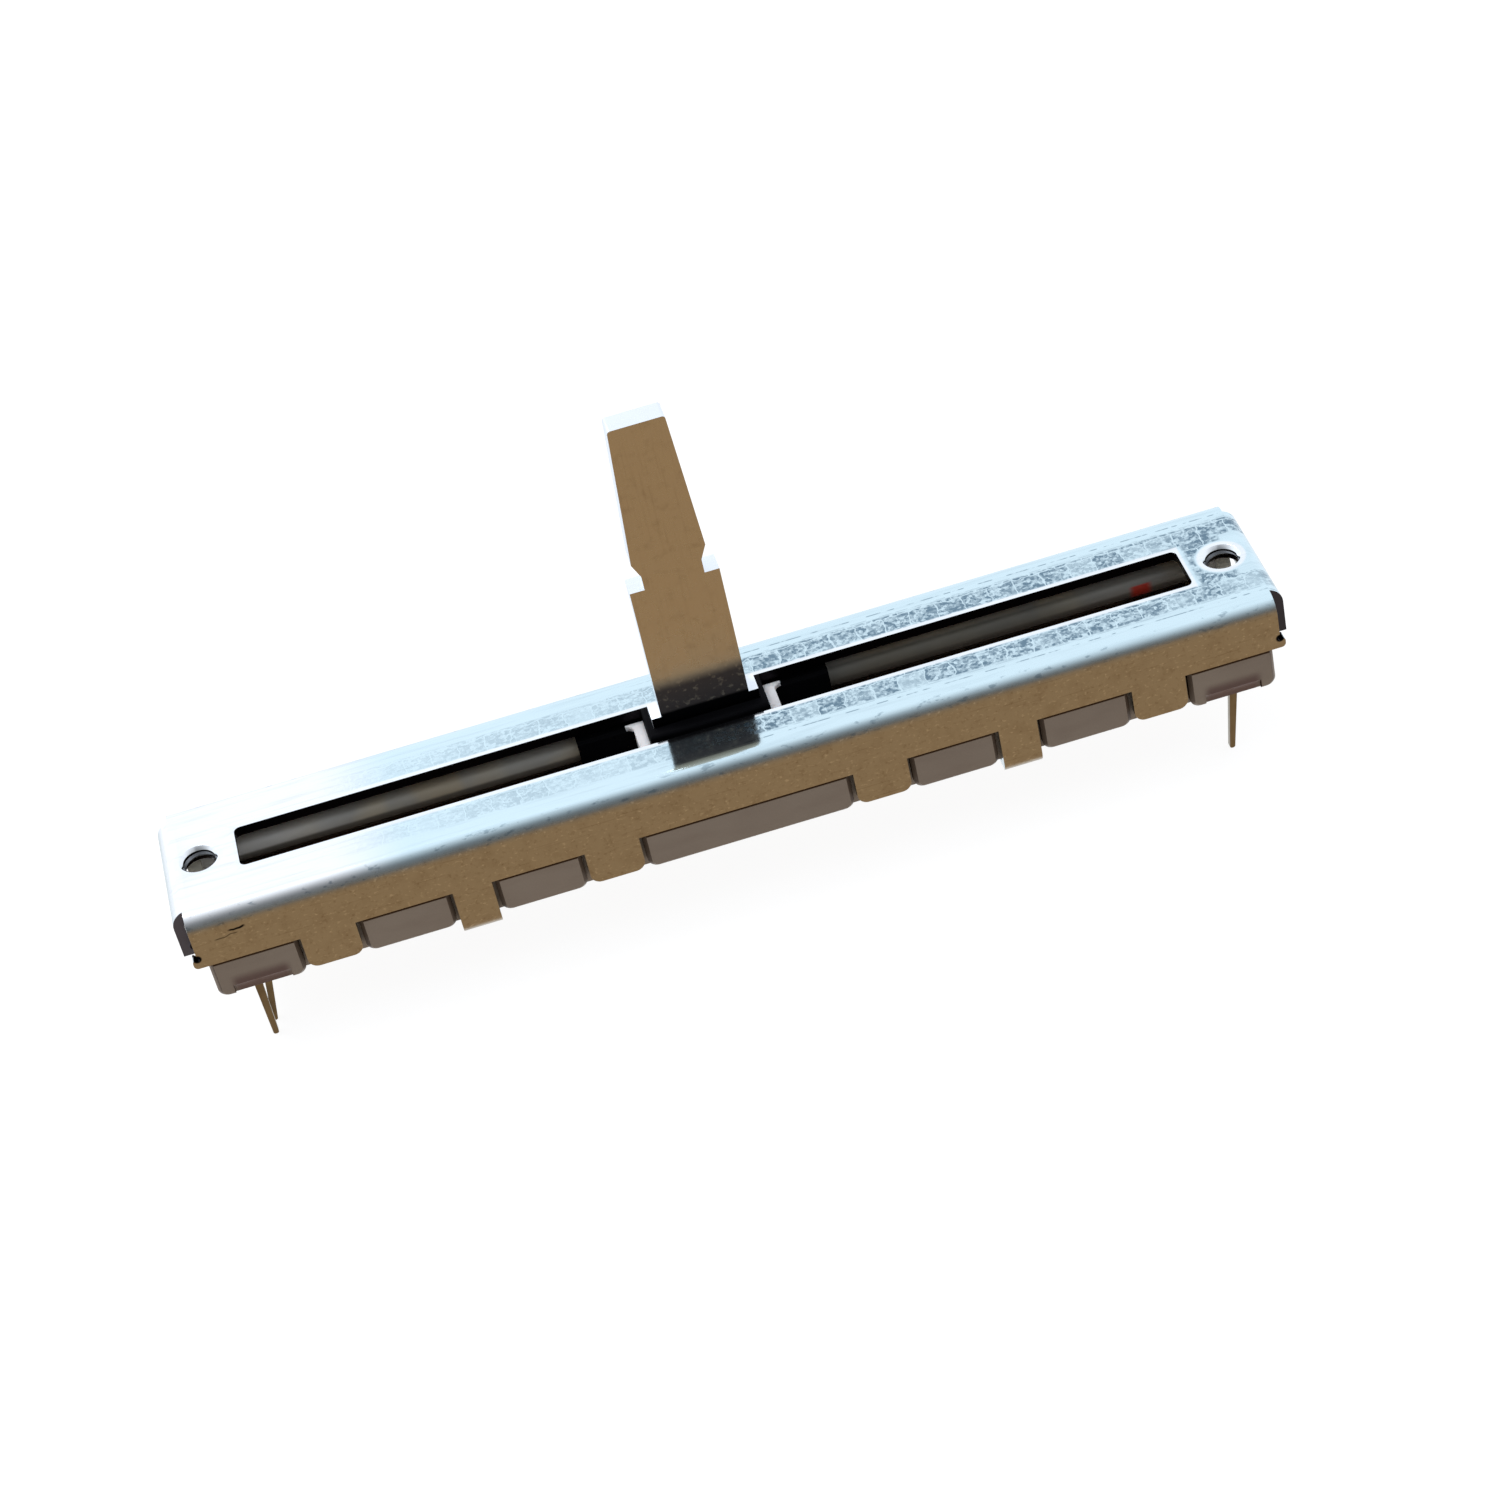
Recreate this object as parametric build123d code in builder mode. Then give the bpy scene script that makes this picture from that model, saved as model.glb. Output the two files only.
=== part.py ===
from build123d import *
import os

# Channel fader: a slide potentiometer with 60 mm of travel and two gangs.
# Origin: midway between the two fixing screws, on the mounting face.
# X runs along the slot, Y across the body, Z up out of the panel. Sizes in mm.

# Travel and fixing
travel = 60.0
lever_rest = -0.7
stop_gap = 0.96
slot_to_screw = 2.95
screw_to_end = 2.9
screw_bore = 2.5

# Bent steel frame
frame_width = 14.0
sheet = 0.8
bend_inner = 0.65
slot_strip = 4.75
slot_corner = 0.5
band_drop = 4.4
tab_length = 3.0
tab_corner = 0.8
inner_tab_at = 10.4
outer_tab_inset = 9.1
wide_tab_width = 4.2
clinch_tab_offset = 0.15
clinch_tab_width = 3.0
clinch_reach = 2.2
clinch_margin = 0.4
clinch_corner = 0.55
flap_drop = 4.2
corner_relief = 0.15
wall_setback = 1.0
nib_height = 0.9
nib_reach = 0.4
nib_corner = 0.35
relief_radius = 0.25
flap_overlap = 0.5
burr_wall = 0.65
burr_drop = 0.3
burr_lip = 0.25

# Moulded base
base_end_gap = 1.6
base_gap = 0.1
base_wall = 0.8
base_floor = 1.2
base_bottom = 7.8
boss_inset = 0.15
boss_top_gap = 0.1
window_gap = 0.25
boss_corner = 0.8
boss_lower_edge = 0.3
end_block_extra = 0.2
clinch_land = 0.35
clinch_gap = 0.05
core_depth = 0.4
core_corner = 0.4
core_rib = 0.9
pocket_inset = 3.4
pocket_width = 4.4
pocket_rise = 0.9
pocket_depth = 0.45
post_thickness = 1.1
post_width = 2.8
shaft_end_wall = 0.3

# Resistor board and its printed tracks
board_thickness = 0.8
board_gap = 0.1
track_thickness = 0.08
track_width = 1.2
collector_inset = 1.8
track_pitch = 1.9
track_end_margin = 0.4

# Terminals and their rivets
pin_width = 0.6
pin_tip_width = 0.42
strip_thickness = 0.45
strip_bend = 0.2
pin_reach = 5.5
pin_tip_corner = 0.18
wiper_pin_lean = -0.7
finish_pin_lean = -0.6
strip_run = 0.9
rivet_taper = 35
outer_pin_inset = 0.85
pin_row_step = 1.5
start_pin_inset = 2.9
wiper_pin_inset = 3.7
finish_pin_inset = 3.3
lug_width = 1.5
lug_overlap = 0.4
strip_gap = 0.06
rivet_radius = 0.4
rivet_head_radius = 0.62
rivet_head = 0.2
rivet_gap = 0.02

# Guide shafts
shaft_radius = 1.0
shaft_depth = 3.05
shaft_chamfer = 0.15
press_clearance = 0.02
running_clearance = 0.05

# Carriage
carriage_length = 19.8
carriage_side_gap = 0.2
rail_wall = 0.35
rail_roof = 0.4
rail_sole = 0.8
rail_relief = 0.25
deck_thickness = 1.2
column_length = 9.3
under_plate_gap = 0.3
boss_side_gap = 0.35
boss_rise = 0.35
boss_edge = 0.3
peg_radius = 0.4
peg_head_radius = 0.6
peg_head = 0.18

# End pads of the carriage
pad_length = 0.85
pad_top = 0.9
pad_flare = 0.55
pad_lip = 0.2
pad_lip_height = 0.4
pad_tenon = 0.6
pad_corner = 0.2
tenon_width = 2.0
pad_gap = 0.04

# Lever blade
lever_thickness = 1.9
lever_height = 27.0
lever_top_width = 4.25
lever_neck_width = 4.55
lever_flare_width = 5.6
lever_width = 6.8
foot_width = 8.3
shoulder_height = 1.2
ledge_height = 12.9
neck_height = 1.2
flare_height = 1.2
lever_corner = 0.25
foot_embed = 3.9
lever_gap = 0.03

# Wiper springs
spring_thickness = 0.12
wiper_plate_length = 7.0
wiper_plate_shift = -2.0
finger_width = 0.28
finger_count = 3
finger_pitch = 0.42
finger_length = 4.6
finger_root = 0.6
finger_bend = 0.5
contact_gap = 0.05
tip_length = 0.5
peg_pitch = 4.6
tip_lift = 0.3

# Levels and places worked out from the sizes above
column_half = column_length / 2
pad_reach = column_half + pad_gap + pad_length + pad_flare
slot_length = travel + 2 * (pad_reach + stop_gap)
screw_pitch = slot_length + 2 * slot_to_screw
frame_length = screw_pitch + 2 * screw_to_end
base_length = frame_length - 2 * base_end_gap
base_half_length = base_length / 2
outer_tab_at = base_half_length - outer_tab_inset
clinch_tab_at = (inner_tab_at + outer_tab_at) / 2 - clinch_tab_offset
pocket_at = base_half_length - pocket_inset
start_pin_x = start_pin_inset - base_half_length
wiper_pin_x = wiper_pin_inset - base_half_length
finish_pin_x = base_half_length - finish_pin_inset
bend_outer = sheet + bend_inner
half_width = frame_width / 2
slot_width = frame_width - 2 * slot_strip
inner_half = half_width - sheet
wall_half_length = frame_length / 2 - wall_setback
flap_half_width = half_width - bend_outer - corner_relief
window_top = -band_drop
tab_bottom = window_top - tab_length
floor_bottom = -base_bottom
floor_top = floor_bottom + base_floor
board_top = floor_top + board_thickness
track_top = board_top + track_thickness
strip_top = track_top + strip_thickness
land_bottom = floor_bottom - clinch_land
clinch_bottom = land_bottom - clinch_gap - sheet
base_half_width = inner_half - base_gap
tray_half_width = base_half_width - base_wall
post_inner_x = base_half_length - post_thickness
board_half_length = post_inner_x - board_gap
board_half_width = tray_half_width - board_gap
boss_face = half_width - boss_inset
boss_top = window_top - boss_top_gap
block_bottom = floor_bottom - end_block_extra
pin_bottom = floor_bottom - pin_reach
bore_radius = shaft_radius + running_clearance
carriage_half_width = tray_half_width - carriage_side_gap
rail_width = 2 * (bore_radius + rail_wall)
rail_inner = carriage_half_width - rail_width
shaft_y = carriage_half_width - rail_width / 2
rail_top = shaft_depth - bore_radius - rail_roof
deck_bottom = shaft_depth + bore_radius + rail_sole
deck_top = deck_bottom - deck_thickness
outer_pin_at = boss_face - outer_pin_inset
inner_pin_at = outer_pin_at - pin_row_step
collector_at = board_half_width - collector_inset
resistive_at = collector_at - track_pitch
shaft_half_length = base_half_length - shaft_end_wall
wide_tabs = [-outer_tab_at, -inner_tab_at, inner_tab_at, outer_tab_at]
clinch_tabs = [-clinch_tab_at, clinch_tab_at]
tab_spans = [(x, wide_tab_width) for x in wide_tabs] + [(x, clinch_tab_width) for x in clinch_tabs]
tab_spans.sort()
tab_edges = [(x - width / 2, x + width / 2) for x, width in tab_spans]
window_spans = [(left[1], right[0]) for left, right in zip(tab_edges, tab_edges[1:])]
last_tab_edge = outer_tab_at + wide_tab_width / 2
end_block_inner = last_tab_edge + window_gap

tray_top = boss_top
channel_floor = track_top - strip_gap
strip_middle = track_top + strip_thickness / 2
start_lug_x = start_pin_x - (lug_width + pin_width) / 2 + lug_overlap
finish_lug_x = finish_pin_x + (lug_width + pin_width) / 2 - lug_overlap
wiper_lug_x = wiper_pin_x + (lug_width - pin_width) / 2
wiper_rivet_x = wiper_lug_x - lug_width / 2 + rivet_head_radius
resistive_inner = resistive_at - track_width / 2
collector_inner = collector_at - track_width / 2
rivet_at = collector_at
boss_half_width = slot_width / 2 - boss_side_gap
column_top = -sheet - under_plate_gap
plate_bottom = -deck_bottom - spring_thickness
wiper_width = collector_at - resistive_at + track_width
wiper_at = (collector_at + resistive_at) / 2
wiper_plate_x = lever_rest + wiper_plate_shift
pad_at = column_half + pad_gap + pad_length / 2
pad_flare_start = boss_half_width - pad_lip - pad_flare
tenon_length = pad_length / 2
land_inner = half_width - clinch_reach - clinch_margin
land_outer = inner_half - bend_inner
land_at = (land_inner + land_outer) / 2
land_width = land_outer - land_inner
core_half_width = tray_half_width - core_rib
clinch_outer = clinch_tab_at + clinch_tab_width / 2
clinch_inner = clinch_tab_at - clinch_tab_width / 2
core_spans = []
for outer, inner in ((end_block_inner, clinch_outer), (clinch_inner, 0)):
    core_spans.append((inner + core_rib, outer - core_rib))
    core_spans.append((core_rib - outer, -inner - core_rib))
pin_places = []
rivet_places = []
for row in (-1, 1):
    pin_places.append((start_pin_x, row * outer_pin_at))
    pin_places.append((finish_pin_x, row * outer_pin_at))
    pin_places.append((wiper_pin_x, row * inner_pin_at))
    rivet_places.append((start_lug_x, row * rivet_at))
    rivet_places.append((finish_lug_x, row * rivet_at))
    rivet_places.append((wiper_rivet_x, row * rivet_at))

os.makedirs("parts", exist_ok=True)


def save(builder, name):
    """Label a finished piece and write it under its own name."""
    builder.part.label = name
    export_step(builder.part, "parts/" + name + ".step")


def sheet_section(plane, outer, inner):
    """Section of the bent sheet between the corners of its outer and inner sides."""
    with BuildSketch(plane) as section:
        with BuildLine():
            outside = FilletPolyline(*outer, radius=bend_outer)
            inside = FilletPolyline(*inner, radius=bend_inner)
            Line(outside @ 0, inside @ 0)
            Line(outside @ 1, inside @ 1)
        make_face()
    return section.sketch


def clinch_tab(tab_x, side):
    """One narrow tab on one wall, rounded at its lower corners and bent under the base."""
    bend_outside = [
        (side * half_width, window_top),
        (side * half_width, clinch_bottom),
        (side * (half_width - clinch_reach), clinch_bottom),
    ]
    bend_inside = [
        (side * inner_half, window_top),
        (side * inner_half, clinch_bottom + sheet),
        (side * (half_width - clinch_reach), clinch_bottom + sheet),
    ]
    bend_plane = Plane.YZ.offset(tab_x - clinch_tab_width / 2)
    strip = extrude(sheet_section(bend_plane, bend_outside, bend_inside), amount=clinch_tab_width)
    with BuildSketch(Plane.XZ) as front_view:
        with Locations((tab_x, (window_top + clinch_bottom) / 2)):
            Rectangle(clinch_tab_width, window_top - clinch_bottom)
        fillet(front_view.vertices().group_by(Axis.Y)[0], clinch_corner)
    return strip & extrude(front_view.sketch, amount=frame_width, both=True)


# Frame: one strip of sheet steel bent down on all four sides.
# The long walls are cut into wide locating tabs and narrow tabs clinched under the base.
channel_outside = [
    (-half_width, tab_bottom),
    (-half_width, 0),
    (half_width, 0),
    (half_width, tab_bottom),
]
channel_inside = [
    (-inner_half, tab_bottom),
    (-inner_half, -sheet),
    (inner_half, -sheet),
    (inner_half, tab_bottom),
]
clinched = [clinch_tab(tab_x, side) for tab_x in clinch_tabs for side in (-1, 1)]
with BuildPart() as frame:
    channel = sheet_section(Plane.YZ, channel_outside, channel_inside)
    extrude(channel, amount=wall_half_length + nib_reach, both=True)

    # Side view of the walls: plain band, nibs past the relief holes, and rounded locating tabs
    with BuildSketch(Plane.XZ) as side_view:
        with Locations((0, window_top / 2)):
            Rectangle(2 * wall_half_length, band_drop)
        with Locations((0, window_top + nib_height / 2)):
            Rectangle(2 * (wall_half_length + nib_reach), nib_height)
        fillet(side_view.vertices().group_by(Axis.X)[0], nib_corner)
        fillet(side_view.vertices().group_by(Axis.X)[-1], nib_corner)
        for tab_x in wide_tabs:
            with Locations((tab_x, window_top - tab_length / 2)):
                Rectangle(wide_tab_width, tab_length)
        fillet(side_view.vertices().group_by(Axis.Y)[0], tab_corner)
        with Locations((0, window_top + nib_height)):
            with GridLocations(2 * wall_half_length, 0, 2, 1):
                Circle(relief_radius, mode=Mode.SUBTRACT)
    extrude(amount=frame_width, both=True, mode=Mode.INTERSECT)

    # Narrow tabs, bent inwards under the base once it is in place
    add(clinched)

    # End flaps, narrower than the plate, so the corners stay open
    flap_start = wall_half_length - flap_overlap
    flap_face = frame_length / 2
    for side in (-1, 1):
        flap_outside = [(side * flap_start, 0), (side * flap_face, 0), (side * flap_face, -flap_drop)]
        flap_inside = [
            (side * flap_start, -sheet),
            (side * (flap_face - sheet), -sheet),
            (side * (flap_face - sheet), -flap_drop),
        ]
        extrude(sheet_section(Plane.XZ, flap_outside, flap_inside), amount=flap_half_width, both=True)

    # Slot for the lever
    with BuildSketch(Plane.XY):
        RectangleRounded(slot_length, slot_width, slot_corner)
    extrude(amount=-sheet, mode=Mode.SUBTRACT)

    # Fixing holes: the sheet is drawn down into a collar and tapped
    with BuildSketch(Plane.XY.offset(-sheet)):
        with GridLocations(screw_pitch, 0, 2, 1):
            Circle(screw_bore / 2 + burr_wall)
    extrude(amount=-burr_drop)
    with BuildSketch(Plane.XY):
        with GridLocations(screw_pitch, 0, 2, 1):
            Circle(screw_bore / 2)
    extrude(amount=-sheet - burr_drop, mode=Mode.SUBTRACT)
    with GridLocations(screw_pitch, 0, 2, 1):
        Cone(
            bottom_radius=screw_bore / 2,
            top_radius=screw_bore / 2 + burr_lip,
            height=burr_lip,
            align=(Align.CENTER, Align.CENTER, Align.MAX),
            mode=Mode.SUBTRACT,
        )
save(frame, "frame")


# Base: a moulded tray that closes the underside and fills the windows of the frame
with BuildPart() as base_housing:
    with BuildSketch(Plane.XY.offset(floor_bottom)):
        Rectangle(base_length, 2 * base_half_width)
    extrude(amount=tray_top - floor_bottom)

    # Bosses, one in each window, rounded at their lower corners
    for left, right in window_spans:
        with BuildSketch(Plane.XZ) as boss:
            with Locations(((left + right) / 2, (boss_top + floor_bottom) / 2)):
                Rectangle(right - left - 2 * window_gap, boss_top - floor_bottom)
            fillet(boss.vertices().group_by(Axis.Y)[0], boss_corner)
        extrude(amount=boss_face, both=True)

    # End blocks that guide the terminals, with a scoop above each row of pins
    for side in (-1, 1):
        block_middle = side * (end_block_inner + base_half_length) / 2
        with BuildSketch(Plane.XZ) as block:
            with Locations((block_middle, (boss_top + block_bottom) / 2)):
                Rectangle(base_half_length - end_block_inner, boss_top - block_bottom)
            fillet(block.vertices().group_by(Axis.Y)[0], boss_corner)
        extrude(amount=boss_face, both=True)
    outer_sides = base_housing.edges().filter_by(Axis.X).group_by(Axis.Y)
    lower_rims = (outer_sides[0] + outer_sides[-1]).filter_by_position(Axis.Z, block_bottom, floor_bottom)
    chamfer(lower_rims, boss_lower_edge)
    for side in (-1, 1):
        with BuildSketch(Plane.YZ.offset(side * pocket_at - pocket_width / 2)):
            with GridLocations(2 * (boss_face + pocket_rise), 0, 2, 1):
                with Locations((0, block_bottom)):
                    Circle(pocket_rise + pocket_depth)
        extrude(amount=pocket_width, mode=Mode.SUBTRACT)

    # Hollow of the tray
    with BuildSketch(Plane.XY.offset(floor_top)):
        Rectangle(2 * post_inner_x, 2 * tray_half_width)
    extrude(amount=tray_top - floor_top, mode=Mode.SUBTRACT)

    # Posts at both ends, round about the shafts that they hold
    for side in (-1, 1):
        post_start = post_inner_x if side > 0 else -base_half_length
        with BuildSketch(Plane.YZ.offset(post_start)):
            with GridLocations(2 * shaft_y, 0, 2, 1):
                with Locations((0, -shaft_depth)):
                    Circle(post_width / 2)
                with Locations((0, (floor_top - shaft_depth) / 2)):
                    Rectangle(post_width, -shaft_depth - floor_top)
        extrude(amount=post_thickness)
    with BuildSketch(Plane.YZ):
        with GridLocations(2 * shaft_y, 0, 2, 1):
            with Locations((0, -shaft_depth)):
                Circle(shaft_radius + press_clearance)
    extrude(amount=shaft_half_length + press_clearance, both=True, mode=Mode.SUBTRACT)

    # Lands that the clinched tabs press on, and shallow cores between them
    with BuildSketch(Plane.XY.offset(land_bottom)):
        with GridLocations(2 * clinch_tab_at, 2 * land_at, 2, 2):
            Rectangle(clinch_tab_width, land_width)
    extrude(amount=clinch_land)
    with BuildSketch(Plane.XY.offset(floor_bottom)):
        for left, right in core_spans:
            with Locations(((left + right) / 2, 0)):
                RectangleRounded(right - left, 2 * core_half_width, core_corner)
    extrude(amount=core_depth, mode=Mode.SUBTRACT)

    # Passages for the terminals and hollows for the rivet heads
    for row in (-1, 1):
        for pin_x, lug_x in ((start_pin_x, start_lug_x), (finish_pin_x, finish_lug_x)):
            channel_left = min(pin_x - pin_width / 2, lug_x - lug_width / 2) - strip_gap
            channel_right = max(pin_x + pin_width / 2, lug_x + lug_width / 2) + strip_gap
            channel_end = outer_pin_at + strip_thickness / 2 + strip_gap
            channel_middle = row * (tray_half_width + channel_end) / 2
            with BuildSketch(Plane.XY.offset(channel_floor)):
                with Locations(((channel_left + channel_right) / 2, channel_middle)):
                    Rectangle(channel_right - channel_left, channel_end - tray_half_width)
            extrude(amount=tray_top - channel_floor, mode=Mode.SUBTRACT)
    with BuildSketch(Plane.XY.offset(channel_floor)):
        with Locations(*pin_places):
            Rectangle(pin_width + 2 * strip_gap, strip_thickness + 2 * strip_gap)
    extrude(amount=block_bottom - channel_floor, mode=Mode.SUBTRACT)
    with BuildSketch(Plane.XY.offset(floor_top)):
        with Locations(*rivet_places):
            Circle(rivet_head_radius + strip_gap)
    extrude(amount=-rivet_head - strip_gap, mode=Mode.SUBTRACT)
save(base_housing, "base_housing")


# Resistor board: a phenolic strip that lies on the floor of the tray
with BuildPart() as resistor_board:
    with BuildSketch(Plane.XY.offset(floor_top)):
        Rectangle(2 * board_half_length, 2 * board_half_width)
        with Locations(*pin_places):
            Rectangle(pin_width + 2 * strip_gap, strip_thickness + 2 * strip_gap, mode=Mode.SUBTRACT)
        with Locations(*rivet_places):
            Circle(rivet_radius + rivet_gap, mode=Mode.SUBTRACT)
    extrude(amount=board_thickness)
save(resistor_board, "resistor_board")


def print_track(name, left, right, track_y):
    """One printed track on the board, from left to right along the slot."""
    with BuildPart() as track:
        with BuildSketch(Plane.XY.offset(board_top)):
            with Locations(((left + right) / 2, track_y)):
                Rectangle(right - left, track_width)
        extrude(amount=track_thickness)
    save(track, name)


# Printed tracks: a resistive strip and a silver collector for each gang
resistive_left = start_lug_x - lug_width / 2 + track_end_margin
resistive_right = finish_lug_x + lug_width / 2 - track_end_margin
collector_left = wiper_rivet_x + rivet_radius + track_end_margin
collector_right = finish_pin_x - pin_width / 2 - track_end_margin
for row_name, row in (("front", -1), ("rear", 1)):
    print_track("resistive_track_" + row_name, resistive_left, resistive_right, row * resistive_at)
    print_track("collector_track_" + row_name, collector_left, collector_right, row * collector_at)


def stamp_terminal(name, row, pin, lug, rivet_x):
    """One flat terminal: a lug riveted on the board and a tapered pin bent down from it."""
    pin_x, pin_y, lean = pin
    lug_x, lug_inner, lug_outer = lug
    with BuildPart() as terminal:
        with BuildSketch(Plane.YZ.offset(pin_x - pin_width / 2)):
            with BuildLine():
                FilletPolyline(
                    (row * (pin_y - strip_run), strip_middle),
                    (row * pin_y, strip_middle),
                    (row * pin_y, block_bottom),
                    radius=strip_bend + strip_thickness / 2,
                )
            trace(line_width=strip_thickness)
        extrude(amount=pin_width)
        with BuildSketch(Plane.XZ.offset(-row * pin_y)) as tail:
            with BuildLine():
                Polyline(
                    (pin_x - pin_width / 2, block_bottom),
                    (pin_x + pin_width / 2, block_bottom),
                    (pin_x + lean + pin_tip_width / 2, pin_bottom),
                    (pin_x + lean - pin_tip_width / 2, pin_bottom),
                    close=True,
                )
            make_face()
            fillet(tail.vertices().group_by(Axis.Y)[0], pin_tip_corner)
        extrude(amount=strip_thickness / 2, both=True)
        with BuildSketch(Plane.XY.offset(track_top)):
            with Locations((lug_x, row * (lug_inner + lug_outer) / 2)):
                Rectangle(lug_width, lug_outer - lug_inner)
        extrude(amount=strip_thickness)
        with BuildSketch(Plane.XY.offset(track_top)):
            with Locations((rivet_x, row * rivet_at)):
                Circle(rivet_radius + rivet_gap)
        extrude(amount=strip_thickness, mode=Mode.SUBTRACT)
    save(terminal, name)


# The two front pins that lean were pushed aside a little; the rear ones are straight
terminal_rows = (("front", -1, wiper_pin_lean, finish_pin_lean), ("rear", 1, 0, 0))
for row_name, row, wiper_lean, finish_lean in terminal_rows:
    outer_lug = (resistive_inner, outer_pin_at - strip_run / 2)
    inner_lug = (collector_inner, inner_pin_at - strip_run / 2)
    start_pin = (start_pin_x, outer_pin_at, 0)
    finish_pin = (finish_pin_x, outer_pin_at, finish_lean)
    wiper_pin = (wiper_pin_x, inner_pin_at, wiper_lean)
    stamp_terminal("start_terminal_" + row_name, row, start_pin, (start_lug_x, *outer_lug), start_lug_x)
    stamp_terminal("finish_terminal_" + row_name, row, finish_pin, (finish_lug_x, *outer_lug), finish_lug_x)
    stamp_terminal("wiper_terminal_" + row_name, row, wiper_pin, (wiper_lug_x, *inner_lug), wiper_rivet_x)


# Rivets that clamp the lugs to the board
with BuildPart() as terminal_rivets:
    with BuildSketch(Plane.XY.offset(floor_top)):
        with Locations(*rivet_places):
            Circle(rivet_radius)
    extrude(amount=strip_top - floor_top)
    for head_start, head_height in ((strip_top, rivet_head), (floor_top, -rivet_head)):
        with BuildSketch(Plane.XY.offset(head_start)):
            with Locations(*rivet_places):
                Circle(rivet_head_radius)
        extrude(amount=head_height, taper=rivet_taper)
save(terminal_rivets, "terminal_rivets")


# Guide shafts: two ground steel rods held in the end posts
for row_name, row in (("front", -1), ("rear", 1)):
    with BuildPart() as guide_shaft:
        with BuildSketch(Plane.YZ):
            with Locations((row * shaft_y, -shaft_depth)):
                Circle(shaft_radius)
        extrude(amount=shaft_half_length, both=True)
        chamfer(guide_shaft.edges().filter_by(GeomType.CIRCLE), shaft_chamfer)
    save(guide_shaft, "guide_shaft_" + row_name)


# Carriage: a moulded slider, closed around the front shaft and open-sided on the rear one
with BuildPart() as carriage:
    with BuildSketch(Plane.XY.offset(-deck_bottom)):
        with Locations((lever_rest, 0)):
            Rectangle(carriage_length, 2 * carriage_half_width)
    extrude(amount=deck_bottom - deck_top)
    with BuildSketch(Plane.XY.offset(-deck_top)):
        with Locations((lever_rest, 0)):
            with GridLocations(0, 2 * shaft_y, 1, 2):
                Rectangle(carriage_length, rail_width)
    extrude(amount=deck_top - rail_top)
    rail_edges = carriage.edges().filter_by(Axis.X).group_by(Axis.Z)[-1]
    chamfer(rail_edges, rail_relief)

    # Column between the rails and the boss that stands up through the slot
    with BuildSketch(Plane.XY.offset(-deck_top)):
        with Locations((lever_rest, 0)):
            Rectangle(column_length, 2 * rail_inner)
    extrude(amount=column_top + deck_top)
    with BuildSketch(Plane.XY.offset(column_top)):
        with Locations((lever_rest, 0)):
            Rectangle(column_length, 2 * boss_half_width)
    extrude(amount=boss_rise - column_top)
    fillet(carriage.edges().group_by(Axis.Z)[-1], boss_edge)

    # Relief between the bearing lengths at both ends of the rails
    with BuildSketch(Plane.XY.offset(-deck_bottom)):
        with Locations((lever_rest, 0)):
            with GridLocations(0, 2 * carriage_half_width, 1, 2):
                Rectangle(column_length, 2 * rail_relief)
    extrude(amount=deck_bottom, mode=Mode.SUBTRACT)

    # Bore for the front shaft and open guide for the rear one
    with BuildSketch(Plane.YZ):
        with GridLocations(2 * shaft_y, 0, 2, 1):
            with Locations((0, -shaft_depth)):
                Circle(bore_radius)
        with Locations((shaft_y + rail_width, -shaft_depth)):
            Rectangle(2 * rail_width, 2 * bore_radius)
    extrude(amount=carriage_length, both=True, mode=Mode.SUBTRACT)

    # Pocket for the lever's foot and sockets for the end pads
    with BuildSketch(Plane.XY.offset(-foot_embed - lever_gap)):
        with Locations((lever_rest, 0)):
            Rectangle(foot_width + 2 * lever_gap, lever_thickness + 2 * lever_gap)
    extrude(amount=foot_embed + lever_gap + boss_rise, mode=Mode.SUBTRACT)
    with BuildSketch(Plane.XY.offset(-deck_top - pad_tenon - pad_gap)):
        with Locations((lever_rest, 0)):
            with GridLocations(2 * pad_at, 0, 2, 1):
                Rectangle(tenon_length + 2 * pad_gap, tenon_width + 2 * pad_gap)
    extrude(amount=pad_tenon + pad_gap, mode=Mode.SUBTRACT)

    # Pegs, headed over to hold the wiper springs
    with BuildSketch(Plane.XY.offset(-deck_bottom)):
        with Locations((wiper_plate_x, 0)):
            with GridLocations(peg_pitch, 2 * wiper_at, 2, 2):
                Circle(peg_radius)
    extrude(amount=-spring_thickness)
    with BuildSketch(Plane.XY.offset(plate_bottom)):
        with Locations((wiper_plate_x, 0)):
            with GridLocations(peg_pitch, 2 * wiper_at, 2, 2):
                Circle(peg_head_radius)
    extrude(amount=-peg_head, taper=rivet_taper)
save(carriage, "carriage")


# End pads: nylon blocks plugged into the deck beside the column
for side_name, side in (("left", -1), ("right", 1)):
    with BuildPart() as end_pad:
        pad_x = lever_rest + side * pad_at
        with BuildSketch(Plane.XY.offset(-deck_top)):
            with Locations((pad_x, 0)):
                Rectangle(pad_length, 2 * boss_half_width)
        extrude(amount=deck_top - pad_top)
        fillet(end_pad.edges().filter_by(Axis.Z).group_by(Axis.Y)[0], pad_corner)
        with BuildSketch(Plane.XY.offset(-pad_top)):
            with Locations((pad_x + side * pad_flare / 2, (boss_half_width + pad_flare_start) / 2)):
                Rectangle(pad_length + pad_flare, boss_half_width - pad_flare_start)
            with Locations((pad_x + side * (pad_length / 2 + pad_flare), pad_flare_start)):
                Circle(pad_flare, mode=Mode.SUBTRACT)
        extrude(amount=-pad_lip_height)
        with BuildSketch(Plane.XY.offset(-deck_top)):
            with Locations((pad_x, 0)):
                Rectangle(tenon_length, tenon_width)
        extrude(amount=-pad_tenon)
    save(end_pad, "end_pad_" + side_name)


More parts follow.
